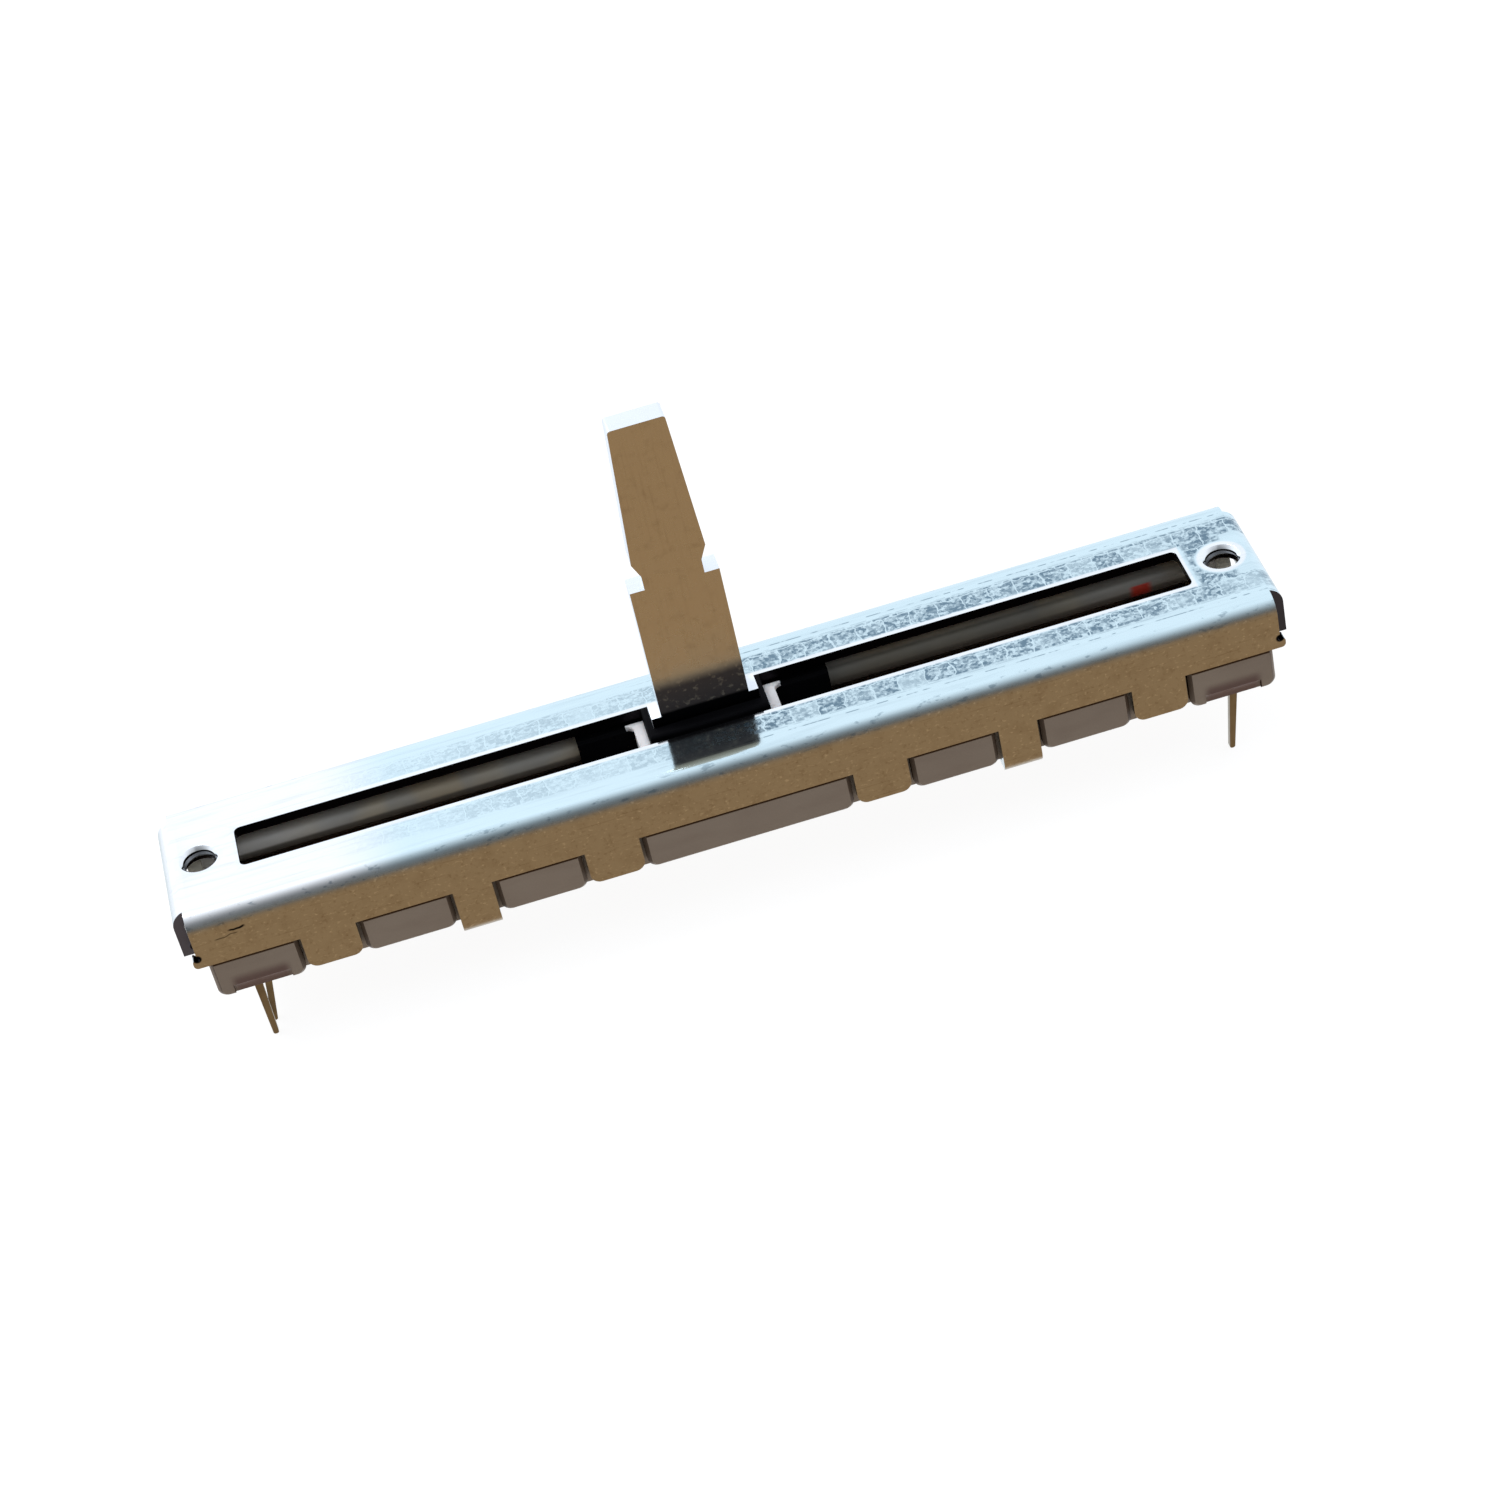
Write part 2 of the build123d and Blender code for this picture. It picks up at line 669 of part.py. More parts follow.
# Lever: a steel blade with a broad foot, shoulders and two notches for the knob
blade_plane = Plane(origin=(lever_rest, 0, 0), x_dir=(1, 0, 0), z_dir=(0, -1, 0))
notch_top = ledge_height + neck_height
flare_top = notch_top + flare_height
with BuildPart() as lever:
    with BuildSketch(blade_plane) as blade:
        with BuildLine():
            Polyline(
                (0, -foot_embed),
                (foot_width / 2, -foot_embed),
                (foot_width / 2, shoulder_height),
                (lever_width / 2, shoulder_height),
                (lever_width / 2, ledge_height),
                (lever_neck_width / 2, ledge_height),
                (lever_neck_width / 2, notch_top),
                (lever_flare_width / 2, flare_top),
                (lever_top_width / 2, lever_height),
                (0, lever_height),
            )
            mirror(about=Plane.YZ)
        make_face()
        fillet(blade.vertices().group_by(Axis.Y)[-1], lever_corner)
    extrude(amount=lever_thickness / 2, both=True)
save(lever, "lever")


# Wiper springs: thin plates under the carriage with fingers that bear on both tracks
finger_rows = [
    track_y + (index - (finger_count - 1) / 2) * finger_pitch
    for track_y in (resistive_at, collector_at)
    for index in range(finger_count)
]
plate_middle = -deck_bottom - spring_thickness / 2
contact_middle = track_top + contact_gap + spring_thickness / 2
plate_end = wiper_plate_x + wiper_plate_length / 2
finger_points = [
    (plate_end - finger_root, plate_middle),
    (plate_end, plate_middle),
    (plate_end + finger_length, contact_middle),
    (plate_end + finger_length + tip_length, contact_middle + tip_lift),
]
for row_name, row in (("front", -1), ("rear", 1)):
    with BuildPart() as wiper:
        with BuildSketch(Plane.XY.offset(plate_bottom)):
            with Locations((wiper_plate_x, row * wiper_at)):
                Rectangle(wiper_plate_length, wiper_width)
                with GridLocations(peg_pitch, 0, 2, 1):
                    Circle(peg_radius + rivet_gap, mode=Mode.SUBTRACT)
        extrude(amount=spring_thickness)
        for finger_y in finger_rows:
            with BuildSketch(Plane.XZ.offset(-row * finger_y)):
                with BuildLine():
                    FilletPolyline(*finger_points, radius=finger_bend)
                trace(line_width=spring_thickness)
            extrude(amount=finger_width / 2, both=True)
    save(wiper, "wiper_" + row_name)
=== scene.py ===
"""Looks of a channel fader: a long slide potentiometer with a bent steel frame and a flat lever.

Each sub-assembly is a class that dresses the solids it is made of and adds what they leave out.
Positions are in metres in the frame of the solids: X along the slot, Y across, Z out of the panel.
Finishes work in millimetres, because their details are that small.
"""

import logging
import math
from dataclasses import dataclass, field
from enum import Enum

import bpy
from mathutils import Matrix, Vector


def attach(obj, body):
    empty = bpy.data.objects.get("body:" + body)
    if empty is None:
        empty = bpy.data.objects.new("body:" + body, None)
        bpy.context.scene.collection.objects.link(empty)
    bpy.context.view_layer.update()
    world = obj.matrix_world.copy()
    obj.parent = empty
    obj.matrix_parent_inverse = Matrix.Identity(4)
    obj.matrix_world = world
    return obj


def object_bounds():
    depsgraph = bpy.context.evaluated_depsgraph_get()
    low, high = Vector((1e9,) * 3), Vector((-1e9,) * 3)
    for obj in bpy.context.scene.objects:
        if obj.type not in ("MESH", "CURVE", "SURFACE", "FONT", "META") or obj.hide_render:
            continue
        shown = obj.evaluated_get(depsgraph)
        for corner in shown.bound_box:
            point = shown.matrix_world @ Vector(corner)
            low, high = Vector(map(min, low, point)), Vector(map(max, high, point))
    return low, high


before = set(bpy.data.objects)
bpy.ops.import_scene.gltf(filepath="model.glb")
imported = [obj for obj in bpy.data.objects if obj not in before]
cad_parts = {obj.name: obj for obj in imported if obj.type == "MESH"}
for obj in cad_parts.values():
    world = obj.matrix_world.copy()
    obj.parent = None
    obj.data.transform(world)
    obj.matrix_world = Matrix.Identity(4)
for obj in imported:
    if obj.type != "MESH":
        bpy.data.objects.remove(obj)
bpy.context.view_layer.update()
solid_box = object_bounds()

log = logging.getLogger("channel_fader")

MM = 0.001

Triple = tuple[float, float, float]
Colour = Triple
# A span says where a climb starts and ends. A band gives its two ends and how soft they are.
Span = tuple[float, float]
Band = Triple

EVEN: Triple = (1.0, 1.0, 1.0)


class Body(Enum):
    """Rigid bodies of the fader."""

    HOUSING = "housing"
    SLIDER = "slider"


class Row(Enum):
    """Rows of tracks and terminals, one for each gang."""

    FRONT = "front"
    REAR = "rear"


class Side(Enum):
    """Ends of the fader along its slot."""

    LEFT = "left"
    RIGHT = "right"


class Terminal(Enum):
    """Terminals of a row."""

    START = "start"
    FINISH = "finish"
    WIPER = "wiper"


@dataclass(frozen=True)
class Noise:
    """Soft random variation between 0 and 1.

    Attributes:
        per_mm: waves in a millimetre.
        detail: octaves of finer variation.
        stretch: factor for the frequency along each axis.
    """

    per_mm: float
    detail: float = 2.0
    stretch: Triple = EVEN


@dataclass(frozen=True)
class Marks:
    """Random marks: noise that counts only where it passes a threshold.

    Attributes:
        noise: variation that places the marks.
        low: noise at which a mark begins to show.
        high: noise at which it shows in full.
        share: strength of a full mark.
    """

    noise: Noise
    low: float
    high: float
    share: float = 1.0


@dataclass(frozen=True)
class Bricks:
    """Rectangular cells with wavy sides, in staggered rows along X.

    Attributes:
        width: length of a cell in millimetres.
        height: height of a row.
        joint: width of the lines between cells.
        wobble: how far the sides wander.
        joint_softness: share of a line that fades.
        waves_per_mm: waves of the sides in a millimetre.
        stagger: shift from one row to the next, as a share of a cell.
        squash: how much wider the cells of some rows are.
        squash_every: which rows are widened.
    """

    width: float
    height: float
    joint: float
    wobble: float
    joint_softness: float = 0.3
    waves_per_mm: float = 0.9
    stagger: float = 0.37
    squash: float = 1.6
    squash_every: int = 3


class Field:
    """A number that varies over a surface. Arithmetic on it adds nodes to its tree."""

    def __init__(self, tree: bpy.types.NodeTree, socket: bpy.types.NodeSocket) -> None:
        """Hold a socket.

        Args:
            tree: node tree that the socket belongs to.
            socket: output that carries the number.
        """
        self.tree = tree
        self.socket = socket

    def into(self, place: bpy.types.NodeSocket) -> None:
        """Link this field to an input."""
        self.tree.links.new(self.socket, place)

    def math(self, operation: str, *others: "Field | float") -> "Field":
        """Combine this field with others.

        Args:
            operation: name of the operation of a Math node.
            others: fields or numbers that follow this one.

        Returns:
            The result as a new field.
        """
        node = self.tree.nodes.new("ShaderNodeMath")
        node.operation = operation
        for value, place in zip((self, *others), node.inputs):
            plug(value, place)
        return Field(self.tree, node.outputs[0])

    def __add__(self, other: "Field | float") -> "Field":
        """Sum."""
        return self.math("ADD", other)

    def __sub__(self, other: "Field | float") -> "Field":
        """Difference."""
        return self.math("SUBTRACT", other)

    def __mul__(self, other: "Field | float") -> "Field":
        """Product."""
        return self.math("MULTIPLY", other)

    def inverse(self) -> "Field":
        """One minus this field."""
        return self * -1.0 + 1.0

    def size(self) -> "Field":
        """Absolute value."""
        return self.math("ABSOLUTE")

    def larger(self, other: "Field") -> "Field":
        """The greater of this field and another."""
        return self.math("MAXIMUM", other)

    def length(self, other: "Field") -> "Field":
        """Length of the vector that this field and another make."""
        return (self.math("POWER", 2.0) + other.math("POWER", 2.0)).math("SQRT")

    def rise(self, low: float, high: float, to_low: float = 0.0, to_high: float = 1.0) -> "Field":
        """Climb smoothly from one value to another as this field passes through a span.

        Args:
            low: where the climb starts.
            high: where it ends.
            to_low: value before the climb.
            to_high: value after it.

        Returns:
            The climbing field.
        """
        node = self.tree.nodes.new("ShaderNodeMapRange")
        node.interpolation_type = "SMOOTHSTEP"
        plug(self, node.inputs["Value"])
        limits = {"From Min": low, "From Max": high, "To Min": to_low, "To Max": to_high}
        for name, value in limits.items():
            node.inputs[name].default_value = value
        return Field(self.tree, node.outputs["Result"])

    def fall(self, low: float, high: float) -> "Field":
        """Drop smoothly from one to zero as this field passes through a span."""
        return self.rise(low, high, 1.0, 0.0)

    def band(self, low: float, high: float, soft: float) -> "Field":
        """One inside a span and zero outside it, with soft ends.

        Args:
            low: lower end of the span.
            high: upper end.
            soft: width over which each end fades.

        Returns:
            The mask.
        """
        return self.rise(low - soft, low + soft) * self.fall(high - soft, high + soft)


def plug(value: "Field | float", place: bpy.types.NodeSocket) -> None:
    """Link a field to an input, or set the input to a number.

    Args:
        value: field or number.
        place: input that takes it.
    """
    if isinstance(value, Field):
        value.into(place)
    else:
        place.default_value = value


class Surface:
    """A node material under construction: one shader, and the fields that feed it."""

    def __init__(self, name: str, roughness: float, metallic: float = 0.0) -> None:
        """Start a material.

        Args:
            name: name of the material.
            roughness: roughness all over the surface, until a field replaces it.
            metallic: 1 for bare or plated metal, 0 for anything else.
        """
        self.material = bpy.data.materials.new(name)
        self.material.use_nodes = True
        self.tree = self.material.node_tree
        self.shader = self.tree.nodes["Principled BSDF"]
        self.shader.inputs["Roughness"].default_value = roughness
        self.shader.inputs["Metallic"].default_value = metallic
        self.coordinates = self.tree.nodes.new("ShaderNodeTexCoord")

    def split(self, socket: bpy.types.NodeSocket, scale: float) -> tuple[Field, Field, Field]:
        """Split a vector into three fields.

        Args:
            socket: output that carries the vector.
            scale: factor for all three.

        Returns:
            The X, Y and Z fields.
        """
        scaled = self.tree.nodes.new("ShaderNodeVectorMath")
        scaled.operation = "SCALE"
        scaled.inputs["Scale"].default_value = scale
        self.tree.links.new(socket, scaled.inputs[0])
        parts = self.tree.nodes.new("ShaderNodeSeparateXYZ")
        self.tree.links.new(scaled.outputs[0], parts.inputs[0])
        x, y, z = (Field(self.tree, output) for output in parts.outputs)
        return x, y, z

    def place(self) -> tuple[Field, Field, Field]:
        """Position on the part, in millimetres."""
        return self.split(self.coordinates.outputs["Object"], 1.0 / MM)

    def facing(self) -> tuple[Field, Field, Field]:
        """Direction the surface faces, in the part's frame."""
        return self.split(self.coordinates.outputs["Normal"], 1.0)

    def stretched(self, stretch: Triple) -> bpy.types.NodeSocket:
        """Coordinates in millimetres, multiplied along each axis.

        Args:
            stretch: factor for each axis.

        Returns:
            Output that carries the coordinates.
        """
        mapping = self.tree.nodes.new("ShaderNodeMapping")
        mapping.inputs["Scale"].default_value = [factor / MM for factor in stretch]
        self.tree.links.new(self.coordinates.outputs["Object"], mapping.inputs["Vector"])
        return mapping.outputs[0]

    def noise(self, kind: Noise) -> Field:
        """Soft random variation.

        Args:
            kind: its frequency, detail and stretch.

        Returns:
            Field between 0 and 1.
        """
        node = self.tree.nodes.new("ShaderNodeTexNoise")
        node.inputs["Scale"].default_value = kind.per_mm
        node.inputs["Detail"].default_value = kind.detail
        self.tree.links.new(self.stretched(kind.stretch), node.inputs["Vector"])
        return Field(self.tree, node.outputs[0])

    def marks(self, kind: Marks) -> Field:
        """Random marks, each as strong as its share."""
        return self.noise(kind.noise).rise(kind.low, kind.high) * kind.share

    def around(self, middle: float, spread: float, noise: Noise) -> Field:
        """Random variation about a middle value."""
        return self.noise(noise) * spread + (middle - spread / 2)

    def flakes(self, per_mm: float, stretch: Triple = EVEN) -> Field:
        """Angular cells, each with a random value.

        Args:
            per_mm: cells in a millimetre.
            stretch: factor for the frequency along each axis.

        Returns:
            Field between 0 and 1, constant within a cell.
        """
        node = self.tree.nodes.new("ShaderNodeTexVoronoi")
        node.distance = "CHEBYCHEV"
        node.inputs["Scale"].default_value = per_mm
        self.tree.links.new(self.stretched(stretch), node.inputs["Vector"])
        value, _, _ = self.split(node.outputs["Color"], 1.0)
        return value

    def bricks(self, cells: Bricks) -> tuple[Field, Field]:
        """Rectangular cells with wavy sides.

        Args:
            cells: their sizes.

        Returns:
            A random tone for each cell, and a mask of the lines.
        """
        node = self.tree.nodes.new("ShaderNodeTexBrick")
        node.offset = cells.stagger
        node.squash = cells.squash
        node.squash_frequency = cells.squash_every
        sizes = {
            "Scale": 1.0,
            "Mortar Size": cells.joint,
            "Mortar Smooth": cells.joint_softness,
            "Brick Width": cells.width,
            "Row Height": cells.height,
        }
        for name, value in sizes.items():
            node.inputs[name].default_value = value
        node.inputs["Color1"].default_value = (0.0, 0.0, 0.0, 1.0)
        node.inputs["Color2"].default_value = (1.0, 1.0, 1.0, 1.0)
        waves = self.tree.nodes.new("ShaderNodeTexNoise")
        waves.inputs["Scale"].default_value = cells.waves_per_mm
        shift = self.tree.nodes.new("ShaderNodeVectorMath")
        shift.operation = "MULTIPLY_ADD"
        shift.inputs[1].default_value = (cells.wobble, cells.wobble, 0.0)
        even = self.stretched(EVEN)
        self.tree.links.new(even, waves.inputs["Vector"])
        self.tree.links.new(waves.outputs["Color"], shift.inputs[0])
        self.tree.links.new(even, shift.inputs[2])
        self.tree.links.new(shift.outputs[0], node.inputs["Vector"])
        tone, _, _ = self.split(node.outputs["Color"], 1.0)
        return tone, Field(self.tree, node.outputs["Fac"])

    def tint(self, start: Colour, *layers: tuple[Field, Colour]) -> None:
        """Set the base colour.

        Args:
            start: colour under all layers.
            layers: masks, each with the colour that it brings in.
        """
        previous: bpy.types.NodeSocket | None = None
        for mask, colour in layers:
            mix = self.tree.nodes.new("ShaderNodeMix")
            mix.data_type = "RGBA"
            low, high = (s for s in mix.inputs if s.type == "RGBA")
            if previous is None:
                low.default_value = (*start, 1.0)
            else:
                self.tree.links.new(previous, low)
            high.default_value = (*colour, 1.0)
            mask.into(mix.inputs["Factor"])
            previous = next(s for s in mix.outputs if s.type == "RGBA")
        base = self.shader.inputs["Base Color"]
        base.default_value = (*start, 1.0)
        if previous is not None:
            self.tree.links.new(previous, base)

    def roughen(self, roughness: Field) -> None:
        """Let the roughness vary over the surface."""
        roughness.into(self.shader.inputs["Roughness"])

    def bump(self, height: Field, depth_mm: float, strength: float) -> None:
        """Raise the surface by a field.

        Args:
            height: field between 0 and 1.
            depth_mm: height of a full step.
            strength: how much of it counts.
        """
        node = self.tree.nodes.new("ShaderNodeBump")
        node.inputs["Distance"].default_value = depth_mm * MM
        node.inputs["Strength"].default_value = strength
        height.into(node.inputs["Height"])
        self.tree.links.new(node.outputs[0], self.shader.inputs["Normal"])


@dataclass(frozen=True)
class Crystals:
    """Blue-grey crystals of zinc plating, which grow in rectangular patches."""

    coarse_per_mm: float = 2.2
    coarse_stretch: Triple = (0.9, 1.2, 1.0)
    fine_per_mm: float = 4.6
    cell_share: float = 0.325
    cloud: Noise = Noise(2.8, 4.0)
    cloud_share: float = 0.5
    contrast: Span = (0.3, 0.78)
    palest: float = 0.08
    patches: Bricks = Bricks(width=2.1, height=2.4, joint=0.06, wobble=0.9)
    patch_share: float = 0.7
    patch_cloud: Noise = Noise(0.45)
    patch_cloud_share: float = 0.6
    patch_contrast: Span = (0.25, 0.55)
    palest_patch: float = 0.4
    joint_share: float = 0.7

    def pattern(self, surface: Surface) -> Field:
        """Combine the cells with the patches.

        Args:
            surface: material under construction.

        Returns:
            Field between 0 for bare plate and 1 for a dark crystal.
        """
        cells = surface.flakes(self.coarse_per_mm, self.coarse_stretch) + surface.flakes(self.fine_per_mm)
        grain = cells * self.cell_share + surface.noise(self.cloud) * self.cloud_share
        tone, joint = surface.bricks(self.patches)
        patch = tone * self.patch_share + surface.noise(self.patch_cloud) * self.patch_cloud_share
        return (
            grain.rise(*self.contrast, self.palest)
            * patch.rise(*self.patch_contrast, self.palest_patch)
            * (joint * self.joint_share).inverse()
        )


@dataclass(frozen=True)
class Scratch:
    """Wavering scratch on the front wall, with a fainter graze to the left below it."""

    at_x: float = -38.4
    at_z: float = -1.65
    slope: float = 0.12
    waver: Noise = Noise(1.3, 1.0)
    waver_mm: float = 0.3
    edge: Span = (0.04, 0.12)
    ends: Span = (0.45, 0.75)
    graze_below: float = 0.35
    graze_left: float = 0.9
    graze_edge: Span = (0.03, 0.08)
    graze_ends: Span = (0.7, 1.0)
    graze_share: float = 0.6
    front: Span = (-1.0, 1.0)

    def mask(self, surface: Surface) -> Field:
        """Mask both lines.

        Args:
            surface: material under construction.

        Returns:
            The mask, zero on the rear side.
        """
        x, y, z = surface.place()
        along = x - self.at_x
        height = (z - self.at_z) - along * self.slope + surface.around(0.0, self.waver_mm, self.waver)
        scratch = height.size().fall(*self.edge) * along.size().fall(*self.ends)
        graze = (height + self.graze_below).size().fall(*self.graze_edge) * self.graze_share
        graze = graze * (along + self.graze_left).size().fall(*self.graze_ends)
        return scratch.larger(graze) * y.fall(*self.front)


@dataclass(frozen=True)
class PlatedFrameFinish:
    """Bright zinc plating on bent sheet: mirror-like on top, with a painted glare at the left end, painted
    highlights round the punched slot and holes, a painted warm reflection on the walls and painted shade
    where it is cut.

    Names that end in tilt are spans of the normal along an axis. The other spans and bands are
    distances in millimetres from the part's middle planes or from a screw's axis.
    """

    name: str = "zinc_plated_frame"
    plate: Colour = (0.70, 0.86, 0.91)
    glare: Colour = (0.96, 0.97, 0.97)
    # painted highlight on the punched edges round the slot and the holes
    rim_highlight: Colour = (0.93, 0.96, 0.97)
    flake: Colour = (0.15, 0.235, 0.30)
    # painted reflection: the warm brown of the walls stands for wood mirrored in them
    wall: Colour = (0.55, 0.487, 0.385)
    wall_mark: Colour = (0.30, 0.22, 0.14)
    wall_speck: Colour = (0.80, 0.73, 0.60)
    # painted shade: near-black on the slot's cut faces and in the corner reliefs; the real scratch borrows
    # the same colour
    cut: Colour = (0.012, 0.010, 0.012)
    flap_cut: Colour = (0.16, 0.18, 0.29)

    plate_tilt: Span = (0.3, 0.75)
    end_tilt: Span = (0.3, 0.8)
    end_share: float = 0.45
    glare_end: Span = (-31.0, -24.0)

    screw_at: float = 40.0
    slot_highlight: Span = (2.55, 2.75)
    slot_highlight_end: Span = (37.2, 37.4)
    hole_highlight: Span = (1.75, 2.0)
    hole_halo: Span = (1.9, 2.15)

    crystals: Crystals = Crystals()
    beside_slot: Band = (2.65, 4.6, 0.12)
    beyond_slot: Band = (37.6, 40.5, 0.25)
    inside_lines: Span = (4.25, 4.55)
    sparse: Span = (-34.0, -12.0)
    sparse_share: float = 0.4
    dense: Span = (-6.0, 3.0)
    dense_share: float = 0.6

    line: Band = (5.15, 5.25, 0.05)
    second_line: Band = (4.7, 4.78, 0.05)
    second_share: float = 0.5
    line_start: Span = (-8.0, 4.0)
    line_share: float = 0.75
    dashes: Marks = Marks(Noise(0.9, 2.0, (1.0, 0.2, 1.0)), 0.46, 0.56)

    streaks: Marks = Marks(Noise(2.2, 4.0, (0.06, 1.0, 1.0)), 0.45, 0.75, 0.12)
    grime: Marks = Marks(Noise(3.2, 4.0), 0.52, 0.78, 0.4)
    haze: Marks = Marks(Noise(0.7, 4.0), 0.45, 0.7, 0.2)
    scrapes: Marks = Marks(Noise(1.6, 1.0, (0.12, 1.0, 5.0)), 0.66, 0.74, 0.3)
    pits: Marks = Marks(Noise(9.0), 0.66, 0.74, 0.5)
    specks: Marks = Marks(Noise(4.0, 3.0, (0.7, 1.0, 1.0)), 0.56, 0.74, 0.75)
    scratch: Scratch = Scratch()
    dents: Marks = Marks(Noise(2.4, 3.0, (0.45, 1.0, 1.0)), 0.58, 0.7, 0.5)
    bend_tilt: Band = (0.3, 0.94, 0.06)
    bend_from: Span = (6.0, 6.2)

    cut_tilt: Span = (0.3, 0.6)
    slot_cut: Span = (2.27, 2.35)
    slot_cut_end: Span = (41.6, 41.7)
    relief_at: float = 41.9
    relief_level: float = -3.5
    relief_edge: Span = (0.28, 0.4)
    flap_from: Span = (41.7, 41.8)
    flap_side: Span = (6.0, 6.1)
    flap_tilt: Span = (0.6, 0.8)
    right_side: Span = (-1.0, 1.0)
    right_shade: float = 0.5

    plate_roughness: float = 0.09
    wall_roughness: float = 0.36
    crystal_roughness: float = 0.1
    dark_crystal: Span = (0.45, 0.8)
    dark_roughness: float = 0.12
    film: Noise = Noise(1.1, 3.0)
    film_roughness: float = 0.03
    ripple: Noise = Noise(2.4, 3.0)
    ripple_share: float = 0.4
    crystal_height: float = 0.5
    grain_mm: float = 0.004
    grain_strength: float = 0.4

    def from_screw(self, x: Field, across: Field) -> Field:
        """Distance from the nearer screw's axis."""
        return (x.size() - self.screw_at).length(across)

    def mottle(self, surface: Surface, x: Field, across: Field) -> Field:
        """Place the crystals beside the slot and round the holes.

        Args:
            surface: material under construction.
            x: position along the slot.
            across: distance from the slot's middle line.

        Returns:
            How far the plate takes the crystals' colour.
        """
        at_ends = x.size().band(*self.beyond_slot) * across.fall(*self.inside_lines)
        zone = across.band(*self.beside_slot).larger(at_ends)
        zone = zone * self.from_screw(x, across).rise(*self.hole_halo)
        growing = x.rise(*self.sparse) * self.sparse_share + x.rise(*self.dense) * self.dense_share
        return self.crystals.pattern(surface) * zone * growing

    def rim_highlights(self, x: Field, across: Field) -> Field:
        """Mask the painted highlight along the edge that the punch left round the slot and the holes.

        Args:
            x: position along the slot.
            across: distance from the slot's middle line.

        Returns:
            The mask.
        """
        slot = across.fall(*self.slot_highlight) * x.size().fall(*self.slot_highlight_end)
        return slot.larger(self.from_screw(x, across).fall(*self.hole_highlight))

    def lines(self, surface: Surface, x: Field, across: Field) -> Field:
        """Mask the broken dark lines that the bending tool left along both long edges.

        Args:
            surface: material under construction.
            x: position along the slot.
            across: distance from the slot's middle line.

        Returns:
            The mask.
        """
        dashes = surface.marks(self.dashes)
        second = across.band(*self.second_line) * dashes.inverse() * self.second_share
        return (across.band(*self.line) * dashes + second) * x.rise(*self.line_start) * self.line_share

    def cuts(self, surface: Surface) -> tuple[Field, Field]:
        """Mask the cut faces of the sheet, with painted shade on the slot's wall and in the corner reliefs.

        Args:
            surface: material under construction.

        Returns:
            One mask of the slot's wall and the corner reliefs, and one of the end flaps' edges.
        """
        x, y, z = surface.place()
        _, normal_y, normal_z = surface.facing()
        end, across = x.size(), y.size()
        slot = across.fall(*self.slot_cut) * end.fall(*self.slot_cut_end)
        slot = slot * normal_z.size().fall(*self.cut_tilt)
        relief = (end - self.relief_at).length(z - self.relief_level).fall(*self.relief_edge)
        flap = end.rise(*self.flap_from) * across.fall(*self.flap_side)
        flap = flap * normal_y.size().rise(*self.flap_tilt)
        return slot.larger(relief), flap

    def material(self) -> bpy.types.Material:
        """Build the material.

        Returns:
            The finished material.
        """
        surface = Surface(self.name, self.plate_roughness, metallic=1.0)
        x, y, _ = surface.place()
        normal_x, _, normal_z = surface.facing()
        across = y.size()
        upward = normal_z.rise(*self.plate_tilt)
        sideways = upward.inverse() * normal_x.size().rise(*self.end_tilt, 1.0, self.end_share)
        on_bends = normal_z.band(*self.bend_tilt) * across.rise(*self.bend_from)
        mottle = self.mottle(surface, x, across) * upward
        wear = surface.marks(self.grime) + surface.marks(self.haze)
        wear = wear + surface.marks(self.scrapes) + surface.marks(self.pits)
        cut, flap_cut = self.cuts(surface)
        surface.tint(
            self.plate,
            (x.fall(*self.glare_end) * upward, self.glare),
            # painted highlight round the slot and the holes
            (self.rim_highlights(x, across) * upward, self.rim_highlight),
            (mottle, self.flake),
            (self.lines(surface, x, across) * upward, self.flake),
            (surface.marks(self.streaks) * upward, self.flake),
            # painted warm reflection on the walls, and at a share on the end flaps
            (sideways, self.wall),
            (surface.marks(self.dents) * on_bends, self.flake),
            (wear * sideways, self.wall_mark),
            (surface.marks(self.specks) * sideways, self.wall_speck),
            (self.scratch.mask(surface) * sideways, self.cut),
            (flap_cut, self.flap_cut),
            # painted shade: the flaps' edges darker on the right
            (flap_cut * x.rise(*self.right_side) * self.right_shade, self.cut),
            # painted shade on the slot's cut faces and in the corner reliefs
            (cut, self.cut),
        )
        roughness = mottle * self.crystal_roughness + mottle.rise(*self.dark_crystal) * self.dark_roughness
        roughness = roughness + sideways * (self.wall_roughness - self.plate_roughness)
        roughness = roughness + surface.noise(self.film) * self.film_roughness
        surface.roughen(roughness + self.plate_roughness)
        height = surface.noise(self.ripple) * self.ripple_share + mottle * self.crystal_height
        surface.bump(height, self.grain_mm, self.grain_strength)
        return surface.material


